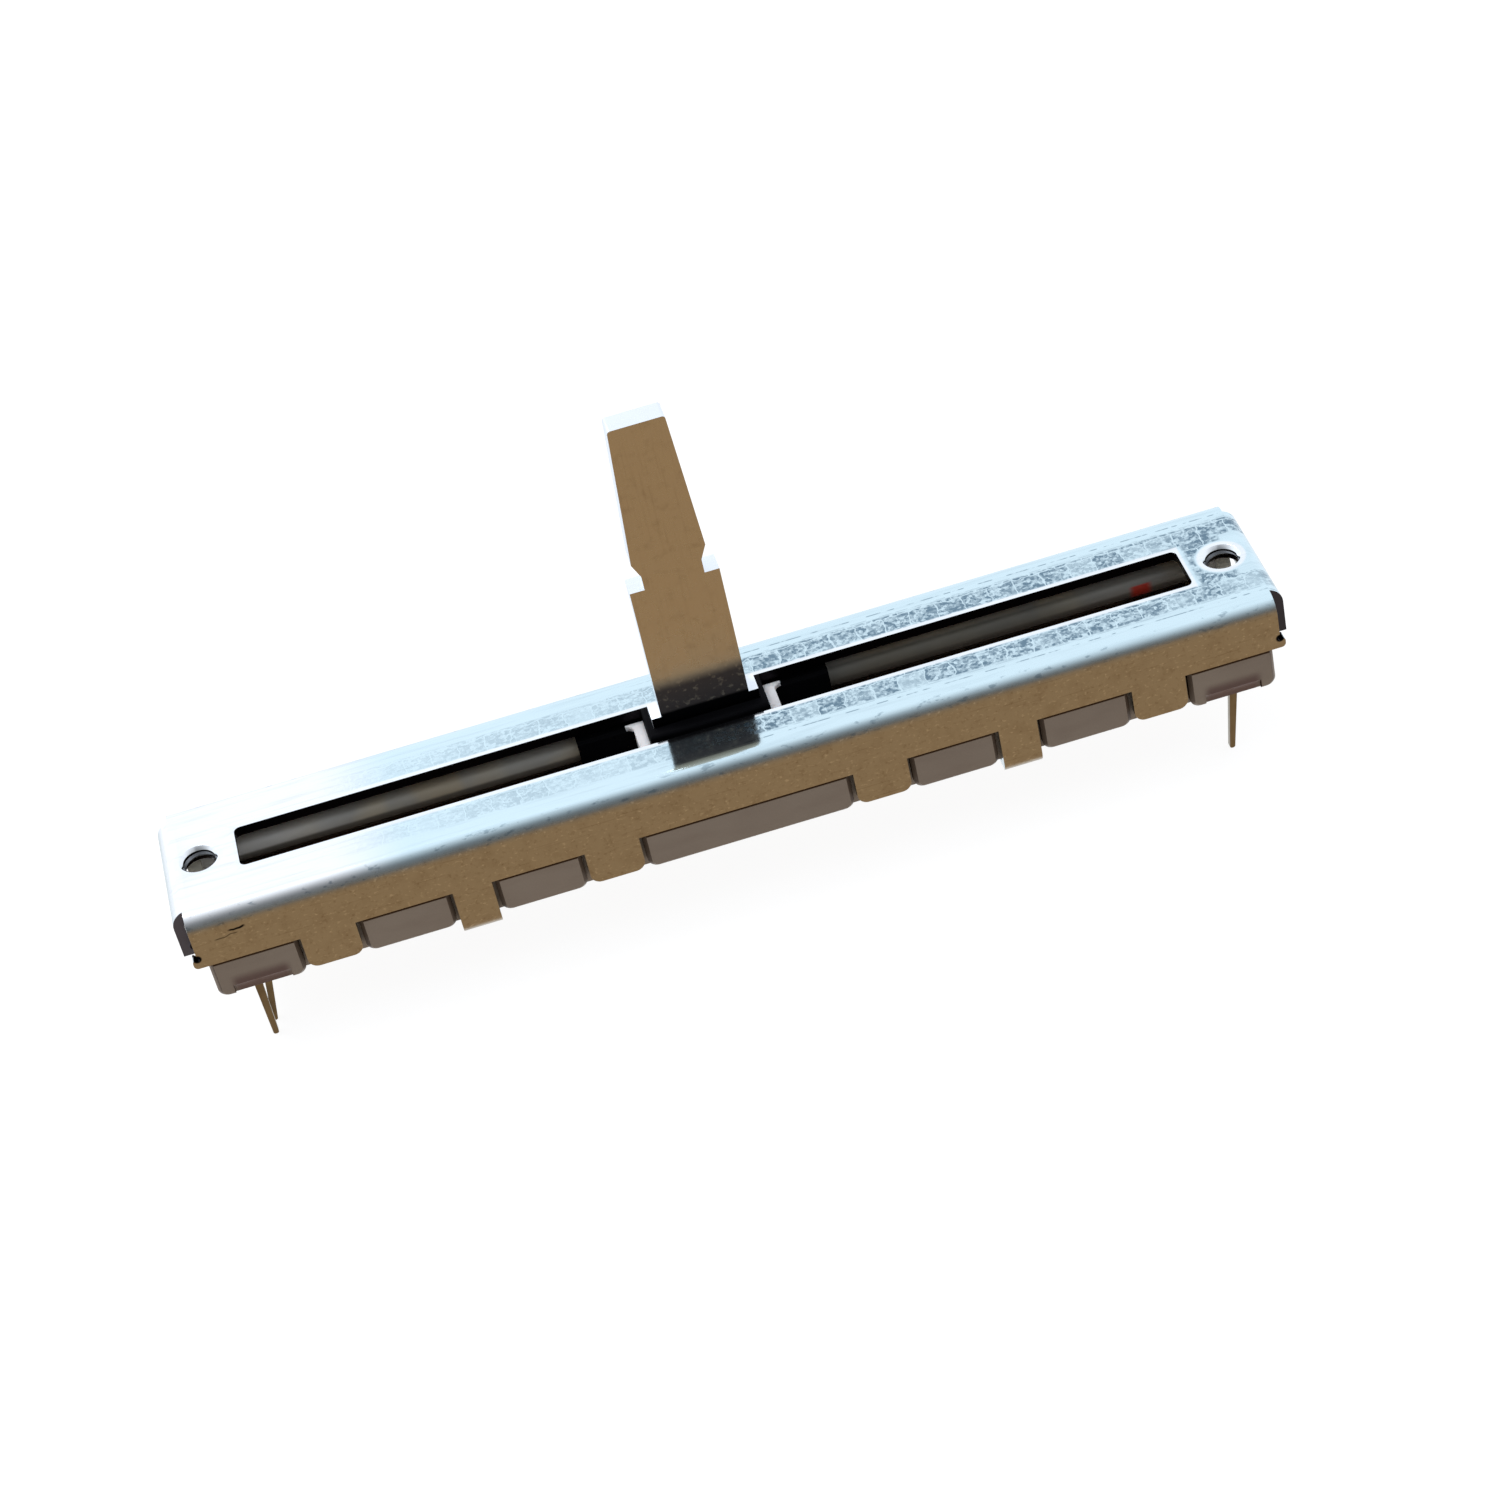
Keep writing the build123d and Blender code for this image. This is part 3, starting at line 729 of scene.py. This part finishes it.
@dataclass(frozen=True)
class PlatedBladeFinish:
    """The same plating on the lever: a painted warm reflection on the flat sides, pale narrow edges and a
    painted dark reflection low on the sides.
    """

    name: str = "zinc_plated_lever"
    # painted reflection: the warm brown of the flat sides stands for wood mirrored in them
    side: Colour = (0.667, 0.573, 0.443)
    edge: Colour = (0.88, 0.92, 0.96)
    mark: Colour = (0.34, 0.26, 0.17)
    # painted reflection: a dark band low on the flat sides stands for dark parts mirrored there
    film: Colour = (0.10, 0.087, 0.088)
    # painted reflection: near-black at the base of the flat sides, where the lever mirrors the dark slot
    foot_reflection: Colour = (0.004, 0.004, 0.005)

    side_tilt: Span = (0.55, 0.9)
    foot_reflection_top: Span = (1.31, 1.61)
    reflection_top: Span = (3.4, 4.8)
    reflection_waver: Noise = Noise(0.8)
    reflection_waver_mm: float = 0.3
    reflection_gaps: Marks = Marks(Noise(2.6, 3.0), 0.54, 0.72, 0.3)
    grime: Marks = Marks(Noise(1.4, 4.0), 0.5, 0.85, 0.3)
    brushing: Marks = Marks(Noise(5.0, 2.0, (1.0, 1.0, 0.05)), 0.5, 0.8, 0.15)

    roughness: float = 0.27
    roughness_spread: float = 0.14
    unevenness: Noise = Noise(0.8, 3.0)
    film_roughness: float = 0.2
    grain: Noise = Noise(2.0, 3.0)
    grain_mm: float = 0.006
    grain_strength: float = 0.4

    def material(self) -> bpy.types.Material:
        """Build the material.

        Returns:
            The finished material.
        """
        surface = Surface(self.name, self.roughness, metallic=1.0)
        _, _, z = surface.place()
        _, normal_y, _ = surface.facing()
        flat = normal_y.size().rise(*self.side_tilt)
        # painted dark reflection low on the sides, with a wavering top and gaps
        ragged = z + surface.around(0.0, self.reflection_waver_mm, self.reflection_waver)
        film = ragged.fall(*self.reflection_top) * surface.marks(self.reflection_gaps).inverse()
        surface.tint(
            self.edge,
            # painted warm reflection on the flat sides
            (flat, self.side),
            ((surface.marks(self.grime) + surface.marks(self.brushing)) * flat, self.mark),
            (film * flat, self.film),
            # painted dark reflection at the base of the flat sides
            (z.fall(*self.foot_reflection_top) * flat, self.foot_reflection),
        )
        roughness = surface.around(self.roughness, self.roughness_spread, self.unevenness)
        # rougher where the dark reflection is painted
        surface.roughen(roughness + film * self.film_roughness)
        surface.bump(surface.noise(self.grain), self.grain_mm, self.grain_strength)
        return surface.material


@dataclass(frozen=True)
class MouldedFinish:
    """Moulded plastic with a fine grain and slow changes of tone."""

    name: str
    base: Colour
    tone: Colour
    roughness: float
    gloss: float = 0.5
    glow_depth_mm: float = 0.0
    glow_radius: Triple = (1.0, 0.9, 0.85)
    clouds: Marks = Marks(Noise(0.16, 3.0), 0.3, 0.75, 0.5)
    flow: Marks = Marks(Noise(0.9, 4.0, (0.25, 1.0, 1.0)), 0.45, 0.8, 0.4)
    roughness_spread: float = 0.16
    unevenness: Noise = Noise(1.5)
    grain: Noise = Noise(5.0, 3.0)
    grain_mm: float = 0.012
    grain_strength: float = 0.6

    def material(self) -> bpy.types.Material:
        """Build the material.

        Returns:
            The finished material.
        """
        surface = Surface(self.name, self.roughness)
        plug(self.sheen(surface), surface.shader.inputs["Specular IOR Level"])
        if self.glow_depth_mm > 0.0:
            surface.shader.inputs["Subsurface Weight"].default_value = 1.0
            surface.shader.inputs["Subsurface Radius"].default_value = self.glow_radius
            surface.shader.inputs["Subsurface Scale"].default_value = self.glow_depth_mm * MM
        surface.tint(self.base, *self.layers(surface))
        surface.roughen(surface.around(self.roughness, self.roughness_spread, self.unevenness))
        surface.bump(surface.noise(self.grain), self.grain_mm, self.grain_strength)
        return surface.material

    def layers(self, surface: Surface) -> list[tuple[Field, Colour]]:
        """Masks over the base colour, from the lowest to the topmost, each with its own colour."""
        return [(surface.marks(self.clouds) + surface.marks(self.flow), self.tone)]

    def sheen(self, surface: Surface) -> Field | float:
        """Strength of the reflections, the same all over a plain moulding."""
        return self.gloss


@dataclass(frozen=True)
class BaseFinish(MouldedFinish):
    """Moulded base: painted shade in the scoops, painted shadow in the gaps round the bosses, painted light
    under the screws.
    """

    # painted shade in the scoops at the ends of the base
    scoop_shade: Colour = (0.10, 0.055, 0.045)
    # painted shadow: near-black in the gaps between the bosses and the frame
    seam_shadow: Colour = (0.035, 0.016, 0.007)
    # painted light: a pale patch on the base under each fixing hole, where light falls through it
    pale: Colour = (0.92, 0.90, 0.80)

    scoop_ends: Band = (35.8, 40.0, 0.4)
    scoop_top: Span = (-6.8, -5.9)
    scoop_from: Span = (6.0, 6.2)
    screw_at: float = 40.0
    under_screw: Span = (2.9, 3.3)
    pale_above: Span = (-4.8, -4.4)
    seam_above: Span = (-4.75, -4.65)
    seam_above_tilt: Span = (0.5, 0.8)
    seam_beside_tilt: Span = (0.45, 0.85)
    seam_from: Span = (5.9, 6.1)
    seam_end: Span = (41.0, 41.2)

    def layers(self, surface: Surface) -> list[tuple[Field, Colour]]:
        """Put the painted shade, shadows and light over the masks of the plain finish.

        Args:
            surface: material under construction.

        Returns:
            The layers from the lowest to the topmost.
        """
        x, y, z = surface.place()
        # painted shade in the scoops at the ends
        shade_in_scoops = x.size().band(*self.scoop_ends) * z.fall(*self.scoop_top) * y.size().rise(*self.scoop_from)
        # painted light under the fixing holes
        pale = (x.size() - self.screw_at).length(y).fall(*self.under_screw) * z.rise(*self.pale_above)
        return [
            *super().layers(surface),
            (shade_in_scoops, self.scoop_shade),
            # painted shadow in the gaps round the bosses
            (self.seam_shadows(surface), self.seam_shadow),
            (pale, self.pale),
        ]

    def sheen(self, surface: Surface) -> Field | float:
        """Strength of the reflections: none in the painted shadows round the bosses."""
        return self.seam_shadows(surface).inverse() * self.gloss

    def seam_shadows(self, surface: Surface) -> Field:
        """Mask the painted shadows in the narrow gaps between the bosses and the frame's windows.

        Args:
            surface: material under construction.

        Returns:
            The mask.
        """
        x, y, z = surface.place()
        normal_x, normal_y, _ = surface.facing()
        above = z.rise(*self.seam_above) * normal_y.size().rise(*self.seam_above_tilt)
        beside = normal_x.size().rise(*self.seam_beside_tilt) * y.size().rise(*self.seam_from)
        return above.larger(beside * x.size().fall(*self.seam_end))


@dataclass(frozen=True)
class MetalFinish:
    """Plain metal part: drawn or ground, with faint lines and a thin film."""

    name: str
    base: Colour
    film: Colour
    roughness: float
    lines: Triple = EVEN
    patches: Marks = Marks(Noise(0.3, 4.0, (0.6, 1.0, 1.0)), 0.42, 0.72, 0.6)
    patch_roughness: float = 0.2
    drawn_per_mm: float = 3.0
    drawn_contrast: Span = (0.4, 0.8)
    drawn_share: float = 0.25
    grain_per_mm: float = 6.0
    grain_mm: float = 0.004
    grain_strength: float = 0.4

    def material(self) -> bpy.types.Material:
        """Build the material.

        Returns:
            The finished material.
        """
        surface = Surface(self.name, self.roughness, metallic=1.0)
        patches = surface.marks(self.patches)
        drawn = Marks(Noise(self.drawn_per_mm, stretch=self.lines), *self.drawn_contrast, self.drawn_share)
        surface.tint(self.base, ((patches + surface.marks(drawn)).math("MINIMUM", 1.0), self.film))
        surface.roughen(patches * self.patch_roughness + self.roughness)
        grain = surface.noise(Noise(self.grain_per_mm, stretch=self.lines))
        surface.bump(grain, self.grain_mm, self.grain_strength)
        return surface.material


@dataclass(frozen=True)
class RodFinish:
    """Steel rod under a film of grease, in soft patches, with one red mark near its end, painted shade on
    its right half and underside, and painted light towards its left end and at both ends.
    """

    name: str = "greased_steel_rod"
    steel: Colour = (0.76, 0.69, 0.54)
    blue: Colour = (0.55, 0.55, 0.52)
    brown: Colour = (0.66, 0.57, 0.42)
    red: Colour = (0.85, 0.05, 0.02)
    # painted shade: darker steel on the rod's right half below its top, and on its underside
    dark: Colour = (0.20, 0.19, 0.16)
    # painted light: paler steel towards the rod's left end and at both ends
    bare: Colour = (0.95, 0.95, 0.93)

    warm: Marks = Marks(Noise(0.11, 3.0, (1.0, 0.5, 0.5)), 0.5, 0.62, 0.7)
    cool: Marks = Marks(Noise(0.16, 2.0, (1.0, 0.5, 0.5)), 0.45, 0.6, 0.8)
    red_ends: Band = (33.4, 34.9, 0.3)
    red_tilt: Span = (0.34, 0.5)
    red_share: float = 0.9
    shade_tilt: Span = (0.85, 1.0)
    shade_share: float = 0.8
    shade_start: Span = (-15.0, 8.0)
    shade_end: Span = (25.0, 33.0)
    shade_rest: float = 0.5
    under_tilt: Span = (-0.1, 0.2)
    under_share: float = 0.9
    lit_left: Span = (-36.0, -26.0)
    lit_share: float = 0.8
    lit_ends: Span = (38.0, 38.6)

    metallic: float = 0.25
    roughness: float = 0.5
    roughness_spread: float = 0.12
    unevenness: Noise = Noise(0.5)
    grain: Noise = Noise(5.0, 2.0, (0.2, 1.0, 1.0))
    grain_mm: float = 0.004
    grain_strength: float = 0.3

    def material(self) -> bpy.types.Material:
        """Build the material.

        Returns:
            The finished material.
        """
        surface = Surface(self.name, self.roughness, self.metallic)
        x, _, _ = surface.place()
        _, _, normal_z = surface.facing()
        shaded = normal_z.fall(*self.shade_tilt) * self.shade_share
        shaded = shaded * x.rise(*self.shade_start) * x.rise(*self.shade_end, 1.0, self.shade_rest)
        surface.tint(
            self.steel,
            (surface.marks(self.warm), self.brown),
            (surface.marks(self.cool), self.blue),
            # painted shade on the rod's right half, below its top
            (shaded, self.dark),
            # painted light towards the left end
            (x.fall(*self.lit_left) * self.lit_share, self.bare),
            # painted shade on the rod's underside
            (normal_z.fall(*self.under_tilt) * self.under_share, self.dark),
            (x.band(*self.red_ends) * normal_z.fall(*self.red_tilt) * self.red_share, self.red),
            # painted light at both ends of the rod
            (x.size().rise(*self.lit_ends), self.bare),
        )
        surface.roughen(surface.around(self.roughness, self.roughness_spread, self.unevenness))
        surface.bump(surface.noise(self.grain), self.grain_mm, self.grain_strength)
        return surface.material


@dataclass(frozen=True)
class FloorFinish:
    """Back-lit paper floor, almost white, so that shadows stay faint."""

    name: str = "studio_paper"
    base: Colour = (0.20, 0.20, 0.20)
    tone: Colour = (0.18, 0.18, 0.18)
    light: Colour = (1.0, 1.0, 1.0)
    glow: float = 0.90
    clouds: Noise = Noise(0.01)

    def material(self) -> bpy.types.Material:
        """Build the material.

        Returns:
            The finished material.
        """
        surface = Surface(self.name, 1.0)
        surface.shader.inputs["Specular IOR Level"].default_value = 0.0
        surface.shader.inputs["Emission Color"].default_value = (*self.light, 1.0)
        surface.shader.inputs["Emission Strength"].default_value = self.glow
        surface.tint(self.base, (surface.noise(self.clouds), self.tone))
        return surface.material


def dress(node: str, material: bpy.types.Material) -> bpy.types.Object:
    """Give a solid its material in all its slots.

    Args:
        node: name of the solid.
        material: finish for it.

    Returns:
        The solid's object.
    """
    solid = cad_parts[node]
    for slot in solid.material_slots:
        slot.material = material
    log.info("dressed %s in %s", node, material.name)
    return solid


def smooth_group() -> bpy.types.GeometryNodeTree:
    """Make a node group that marks all faces smooth, for use after the edges are rounded.

    Returns:
        The group.
    """
    group = bpy.data.node_groups.new("smooth_faces", "GeometryNodeTree")
    group.interface.new_socket("Geometry", in_out="INPUT", socket_type="NodeSocketGeometry")
    group.interface.new_socket("Geometry", in_out="OUTPUT", socket_type="NodeSocketGeometry")
    start = group.nodes.new("NodeGroupInput")
    shade = group.nodes.new("GeometryNodeSetShadeSmooth")
    end = group.nodes.new("NodeGroupOutput")
    group.links.new(start.outputs[0], shade.inputs[0])
    group.links.new(shade.outputs[0], end.inputs[0])
    return group


@dataclass
class EdgeRounding:
    """Small radii that stamping, moulding and plating leave on real edges."""

    merge_mm: float = 0.0005
    segments: int = 3
    sharpest_deg: float = 32.0
    group: bpy.types.GeometryNodeTree = field(default_factory=smooth_group)

    def apply(self, solid: bpy.types.Object, radius_mm: float) -> None:
        """Round the edges of a solid with modifiers.

        Args:
            solid: object to round.
            radius_mm: radius of the edges.
        """
        weld = solid.modifiers.new("join_facets", "WELD")
        weld.merge_threshold = self.merge_mm * MM
        bevel = solid.modifiers.new("edge_radius", "BEVEL")
        bevel.width = radius_mm * MM
        bevel.segments = self.segments
        bevel.limit_method = "ANGLE"
        bevel.angle_limit = math.radians(self.sharpest_deg)
        bevel.use_clamp_overlap = True
        shade = solid.modifiers.new("smooth_faces", "NODES")
        shade.node_group = self.group
        even = solid.modifiers.new("even_shading", "WEIGHTED_NORMAL")
        even.keep_sharp = False


@dataclass
class TappedThread:
    """Crests of the thread in one fixing hole."""

    name: str
    centre_x: float
    wall_radius: float = 1.249
    crest_radius: float = 1.13
    pitch: float = 0.5
    root_width: float = 0.4
    top: float = -0.3
    bottom: float = -1.08
    steps: int = 40
    fade_steps: int = 8
    thinnest: float = 0.004

    def build(self, material: bpy.types.Material) -> bpy.types.Object:
        """Build the thread as one ridge that winds down the hole.

        Args:
            material: finish of the thread.

        Returns:
            The thread's object, riding on the housing.
        """
        height = self.top - self.bottom - self.root_width
        count = int(height / self.pitch * self.steps)
        points: list[Triple] = []
        for index in range(count + 1):
            angle = 2.0 * math.pi * index / self.steps
            level = self.top - self.root_width / 2 - self.pitch * index / self.steps
            fade = min(1.0, index / self.fade_steps, (count - index) / self.fade_steps)
            crest = self.wall_radius - (self.wall_radius - self.crest_radius) * fade - self.thinnest
            reach = max(self.root_width / 2 * fade, self.thinnest)
            for radius, lift in ((self.wall_radius, reach), (crest, 0.0), (self.wall_radius, -reach)):
                points.append((
                    (self.centre_x + radius * math.cos(angle)) * MM,
                    radius * math.sin(angle) * MM,
                    (level + lift) * MM,
                ))
        faces: list[tuple[int, ...]] = [(0, 1, 2), (3 * count + 2, 3 * count + 1, 3 * count)]
        for index in range(count):
            here, there = 3 * index, 3 * index + 3
            for corner in range(3):
                after = (corner + 1) % 3
                faces.append((here + corner, there + corner, there + after, here + after))
        mesh = bpy.data.meshes.new(self.name)
        mesh.from_pydata(points, [], faces)
        mesh.update()
        mesh.materials.append(material)
        thread = bpy.data.objects.new(self.name, mesh)
        bpy.context.scene.collection.objects.link(thread)
        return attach(thread, Body.HOUSING.value)


@dataclass
class Housing:
    """Frame, moulded base, board, terminals and guide shafts."""

    body: Body = Body.HOUSING
    frame_edge: float = 0.07
    base_edge: float = 0.08
    pin_edge: float = 0.05
    screw_x: float = 40.0
    plating: PlatedFrameFinish = PlatedFrameFinish()
    taupe: BaseFinish = BaseFinish(
        name="taupe_plastic_moulded",
        base=(0.207, 0.16, 0.12),
        tone=(0.17, 0.125, 0.092),
        roughness=0.5,
    )
    phenolic: MouldedFinish = MouldedFinish(
        name="phenolic_laminate",
        base=(0.20, 0.10, 0.045),
        tone=(0.13, 0.06, 0.03),
        roughness=0.42,
    )
    carbon: MouldedFinish = MouldedFinish(
        name="printed_carbon",
        base=(0.018, 0.018, 0.02),
        tone=(0.03, 0.03, 0.03),
        roughness=0.55,
    )
    silver: MetalFinish = MetalFinish(
        name="printed_silver",
        base=(0.62, 0.60, 0.56),
        film=(0.42, 0.38, 0.32),
        roughness=0.45,
    )
    tinned: MetalFinish = MetalFinish(
        name="tinned_brass_strip",
        base=(0.36, 0.31, 0.23),
        film=(0.20, 0.15, 0.09),
        roughness=0.34,
        lines=(1.0, 1.0, 0.2),
    )
    ground: RodFinish = RodFinish()
    thread: MetalFinish = MetalFinish(
        name="tapped_steel",
        base=(0.40, 0.42, 0.44),
        film=(0.16, 0.16, 0.17),
        roughness=0.3,
    )

    def build(self, rounding: EdgeRounding) -> None:
        """Dress the solids of the housing and add the tapped threads.

        Args:
            rounding: edge rounding shared by all solids.
        """
        rounding.apply(dress("frame", self.plating.material()), self.frame_edge)
        rounding.apply(dress("base_housing", self.taupe.material()), self.base_edge)
        dress("resistor_board", self.phenolic.material())
        carbon, silver = self.carbon.material(), self.silver.material()
        tinned, ground = self.tinned.material(), self.ground.material()
        for row in Row:
            dress(f"resistive_track_{row.value}", carbon)
            dress(f"collector_track_{row.value}", silver)
            dress(f"guide_shaft_{row.value}", ground)
            for terminal in Terminal:
                pin = dress(f"{terminal.value}_terminal_{row.value}", tinned)
                rounding.apply(pin, self.pin_edge)
        dress("terminal_rivets", tinned)
        tapped = self.thread.material()
        for side, centre_x in ((Side.LEFT, -self.screw_x), (Side.RIGHT, self.screw_x)):
            thread = TappedThread(f"thread_{side.value}", centre_x).build(tapped)
            log.info("built %s", thread.name)


@dataclass
class Slider:
    """Carriage, end pads, lever and wiper springs."""

    body: Body = Body.SLIDER
    carriage_edge: float = 0.05
    pad_edge: float = 0.08
    lever_edge: float = 0.11
    plating: PlatedBladeFinish = PlatedBladeFinish()
    black: MouldedFinish = MouldedFinish(
        name="black_plastic_moulded",
        base=(0.003, 0.003, 0.004),
        tone=(0.006, 0.006, 0.007),
        roughness=0.7,
        gloss=0.03,
    )
    nylon: MouldedFinish = MouldedFinish(
        name="pale_nylon_moulded",
        base=(0.93, 0.86, 0.85),
        tone=(0.86, 0.78, 0.77),
        roughness=0.4,
        glow_depth_mm=1.0,
    )
    spring: MetalFinish = MetalFinish(
        name="spring_alloy",
        base=(0.72, 0.56, 0.32),
        film=(0.55, 0.42, 0.25),
        roughness=0.25,
    )

    def build(self, rounding: EdgeRounding) -> None:
        """Dress the solids of the slider.

        Args:
            rounding: edge rounding shared by all solids.
        """
        rounding.apply(dress("carriage", self.black.material()), self.carriage_edge)
        nylon, spring = self.nylon.material(), self.spring.material()
        for side in Side:
            rounding.apply(dress(f"end_pad_{side.value}", nylon), self.pad_edge)
        rounding.apply(dress("lever", self.plating.material()), self.lever_edge)
        for row in Row:
            dress(f"wiper_{row.value}", spring)


@dataclass(frozen=True)
class Sky:
    """Light from all round: a bright bluish far side, a dim near side and warm wood below it.

    Spans are spans of the direction along X, Y or Z. Strengths are named after where they hold.
    """

    horizon: Span = (-0.03, 0.04)
    far: Span = (-0.25, 0.25)
    overhead: Span = (-0.9, 0.25)
    skew_turn: Span = (-0.1, 0.2)
    skew_left: float = -0.05
    skew_right: float = 0.25
    near_turn: Span = (-0.15, 0.2)
    near_left: float = 0.19
    near_right: float = 0.12
    gain_turn: Span = (-0.15, 0.1)
    gain_left: float = 1.12
    below_near: float = 0.40
    below_far: float = 0.6
    warm: Colour = (1.0, 0.74, 0.46)
    cool: Colour = (0.95, 1.0, 1.08)
    backdrop: Colour = (0.96, 0.96, 0.96)

    def world(self) -> bpy.types.World:
        """Build the world.

        Returns:
            World that lights by direction and shows the camera a plain backdrop.
        """
        world = bpy.data.worlds.new("studio_light")
        world.use_nodes = True
        tree = world.node_tree
        coordinates = tree.nodes.new("ShaderNodeTexCoord")
        parts = tree.nodes.new("ShaderNodeSeparateXYZ")
        tree.links.new(coordinates.outputs["Generated"], parts.inputs[0])
        x, y, z = (Field(tree, output) for output in parts.outputs)

        above = z.rise(*self.horizon)
        far_side = y.rise(*self.far)
        near = x.rise(*self.near_turn, self.near_left, self.near_right)
        overhead = (y + x.rise(*self.skew_turn, self.skew_left, self.skew_right)).rise(*self.overhead)
        sky = (overhead * near.inverse() + near) * x.rise(*self.gain_turn, self.gain_left, 1.0)
        strength = sky * above + above.inverse() * (far_side * self.below_far + self.below_near)

        colour = tree.nodes.new("ShaderNodeMix")
        colour.data_type = "RGBA"
        low, high = (s for s in colour.inputs if s.type == "RGBA")
        low.default_value = (*self.warm, 1.0)
        high.default_value = (*self.cool, 1.0)
        above.larger(far_side).into(colour.inputs["Factor"])
        light = tree.nodes["Background"]
        tree.links.new(next(s for s in colour.outputs if s.type == "RGBA"), light.inputs["Color"])
        strength.into(light.inputs["Strength"])

        backdrop = tree.nodes.new("ShaderNodeBackground")
        backdrop.inputs["Color"].default_value = (*self.backdrop, 1.0)
        path = tree.nodes.new("ShaderNodeLightPath")
        choose = tree.nodes.new("ShaderNodeMixShader")
        tree.links.new(path.outputs["Is Camera Ray"], choose.inputs[0])
        tree.links.new(light.outputs[0], choose.inputs[1])
        tree.links.new(backdrop.outputs[0], choose.inputs[2])
        tree.links.new(choose.outputs[0], tree.nodes["World Output"].inputs["Surface"])
        return world


@dataclass
class Studio:
    """Pale floor, soft light all round and the camera."""

    floor_half: float = 3.0
    floor_gap: float = 0.00002
    lamp_at: Triple = (-0.35, 0.25, 0.75)
    lamp_size: float = 0.5
    lamp_watts: float = 3.0
    lamp_colour: Colour = (1.0, 0.99, 0.97)
    camera_at: Triple = (-0.015881, -0.216116, 0.17224)
    camera_forward: Triple = (0.06325, 0.77158, -0.63298)
    camera_up: Triple = (0.28362, 0.59421, 0.75265)
    lens: float = 88.68
    sensor: float = 36.0
    sight: Span = (0.01, 20.0)
    paper: FloorFinish = FloorFinish()
    sky: Sky = Sky()

    def build(self) -> None:
        """Build the floor, the light and the camera."""
        self.lay_floor()
        bpy.context.scene.world = self.sky.world()
        self.hang_lamp()
        self.set_camera()

    def lay_floor(self) -> None:
        """Lay the floor just under the pins. It lights the part but isn't mirrored in it."""
        level = solid_box[0][2] - self.floor_gap
        half = self.floor_half
        mesh = bpy.data.meshes.new("floor")
        corners = [(-half, -half, level), (half, -half, level), (half, half, level), (-half, half, level)]
        mesh.from_pydata(corners, [], [(0, 1, 2, 3)])
        mesh.materials.append(self.paper.material())
        floor = bpy.data.objects.new("floor", mesh)
        floor.visible_glossy = False
        bpy.context.scene.collection.objects.link(floor)

    def hang_lamp(self) -> None:
        """Hang one large soft lamp over the far left."""
        data = bpy.data.lights.new("soft_key", "AREA")
        data.shape = "DISK"
        data.size = self.lamp_size
        data.energy = self.lamp_watts
        data.color = self.lamp_colour
        lamp = bpy.data.objects.new("soft_key", data)
        spot = Vector(self.lamp_at)
        lamp.matrix_world = Matrix.Translation(spot) @ (-spot).to_track_quat("-Z", "Y").to_matrix().to_4x4()
        bpy.context.scene.collection.objects.link(lamp)

    def set_camera(self) -> None:
        """Set the camera where the photograph was taken."""
        data = bpy.data.cameras.new("photo_camera")
        data.lens = self.lens
        data.sensor_width = self.sensor
        data.clip_start, data.clip_end = self.sight
        camera = bpy.data.objects.new("photo_camera", data)
        forward = Vector(self.camera_forward).normalized()
        right = forward.cross(Vector(self.camera_up)).normalized()
        up = right.cross(forward)
        turn = Matrix((right, up, -forward)).transposed().to_4x4()
        camera.matrix_world = Matrix.Translation(self.camera_at) @ turn
        bpy.context.scene.collection.objects.link(camera)
        bpy.context.scene.camera = camera
        bpy.context.scene.view_settings.view_transform = "Standard"


def write_sizes() -> None:
    """Bring the view layer up to date."""
    bpy.context.view_layer.update()


def main() -> None:
    """Build the sub-assemblies and the studio in order."""
    logging.basicConfig(level=logging.INFO, format="%(name)s: %(message)s")
    rounding = EdgeRounding()
    for part in (Housing(), Slider()):
        part.build(rounding)
        log.info("finished the %s", part.body.value)
    Studio().build()
    write_sizes()


if __name__ == "__main__":
    main()
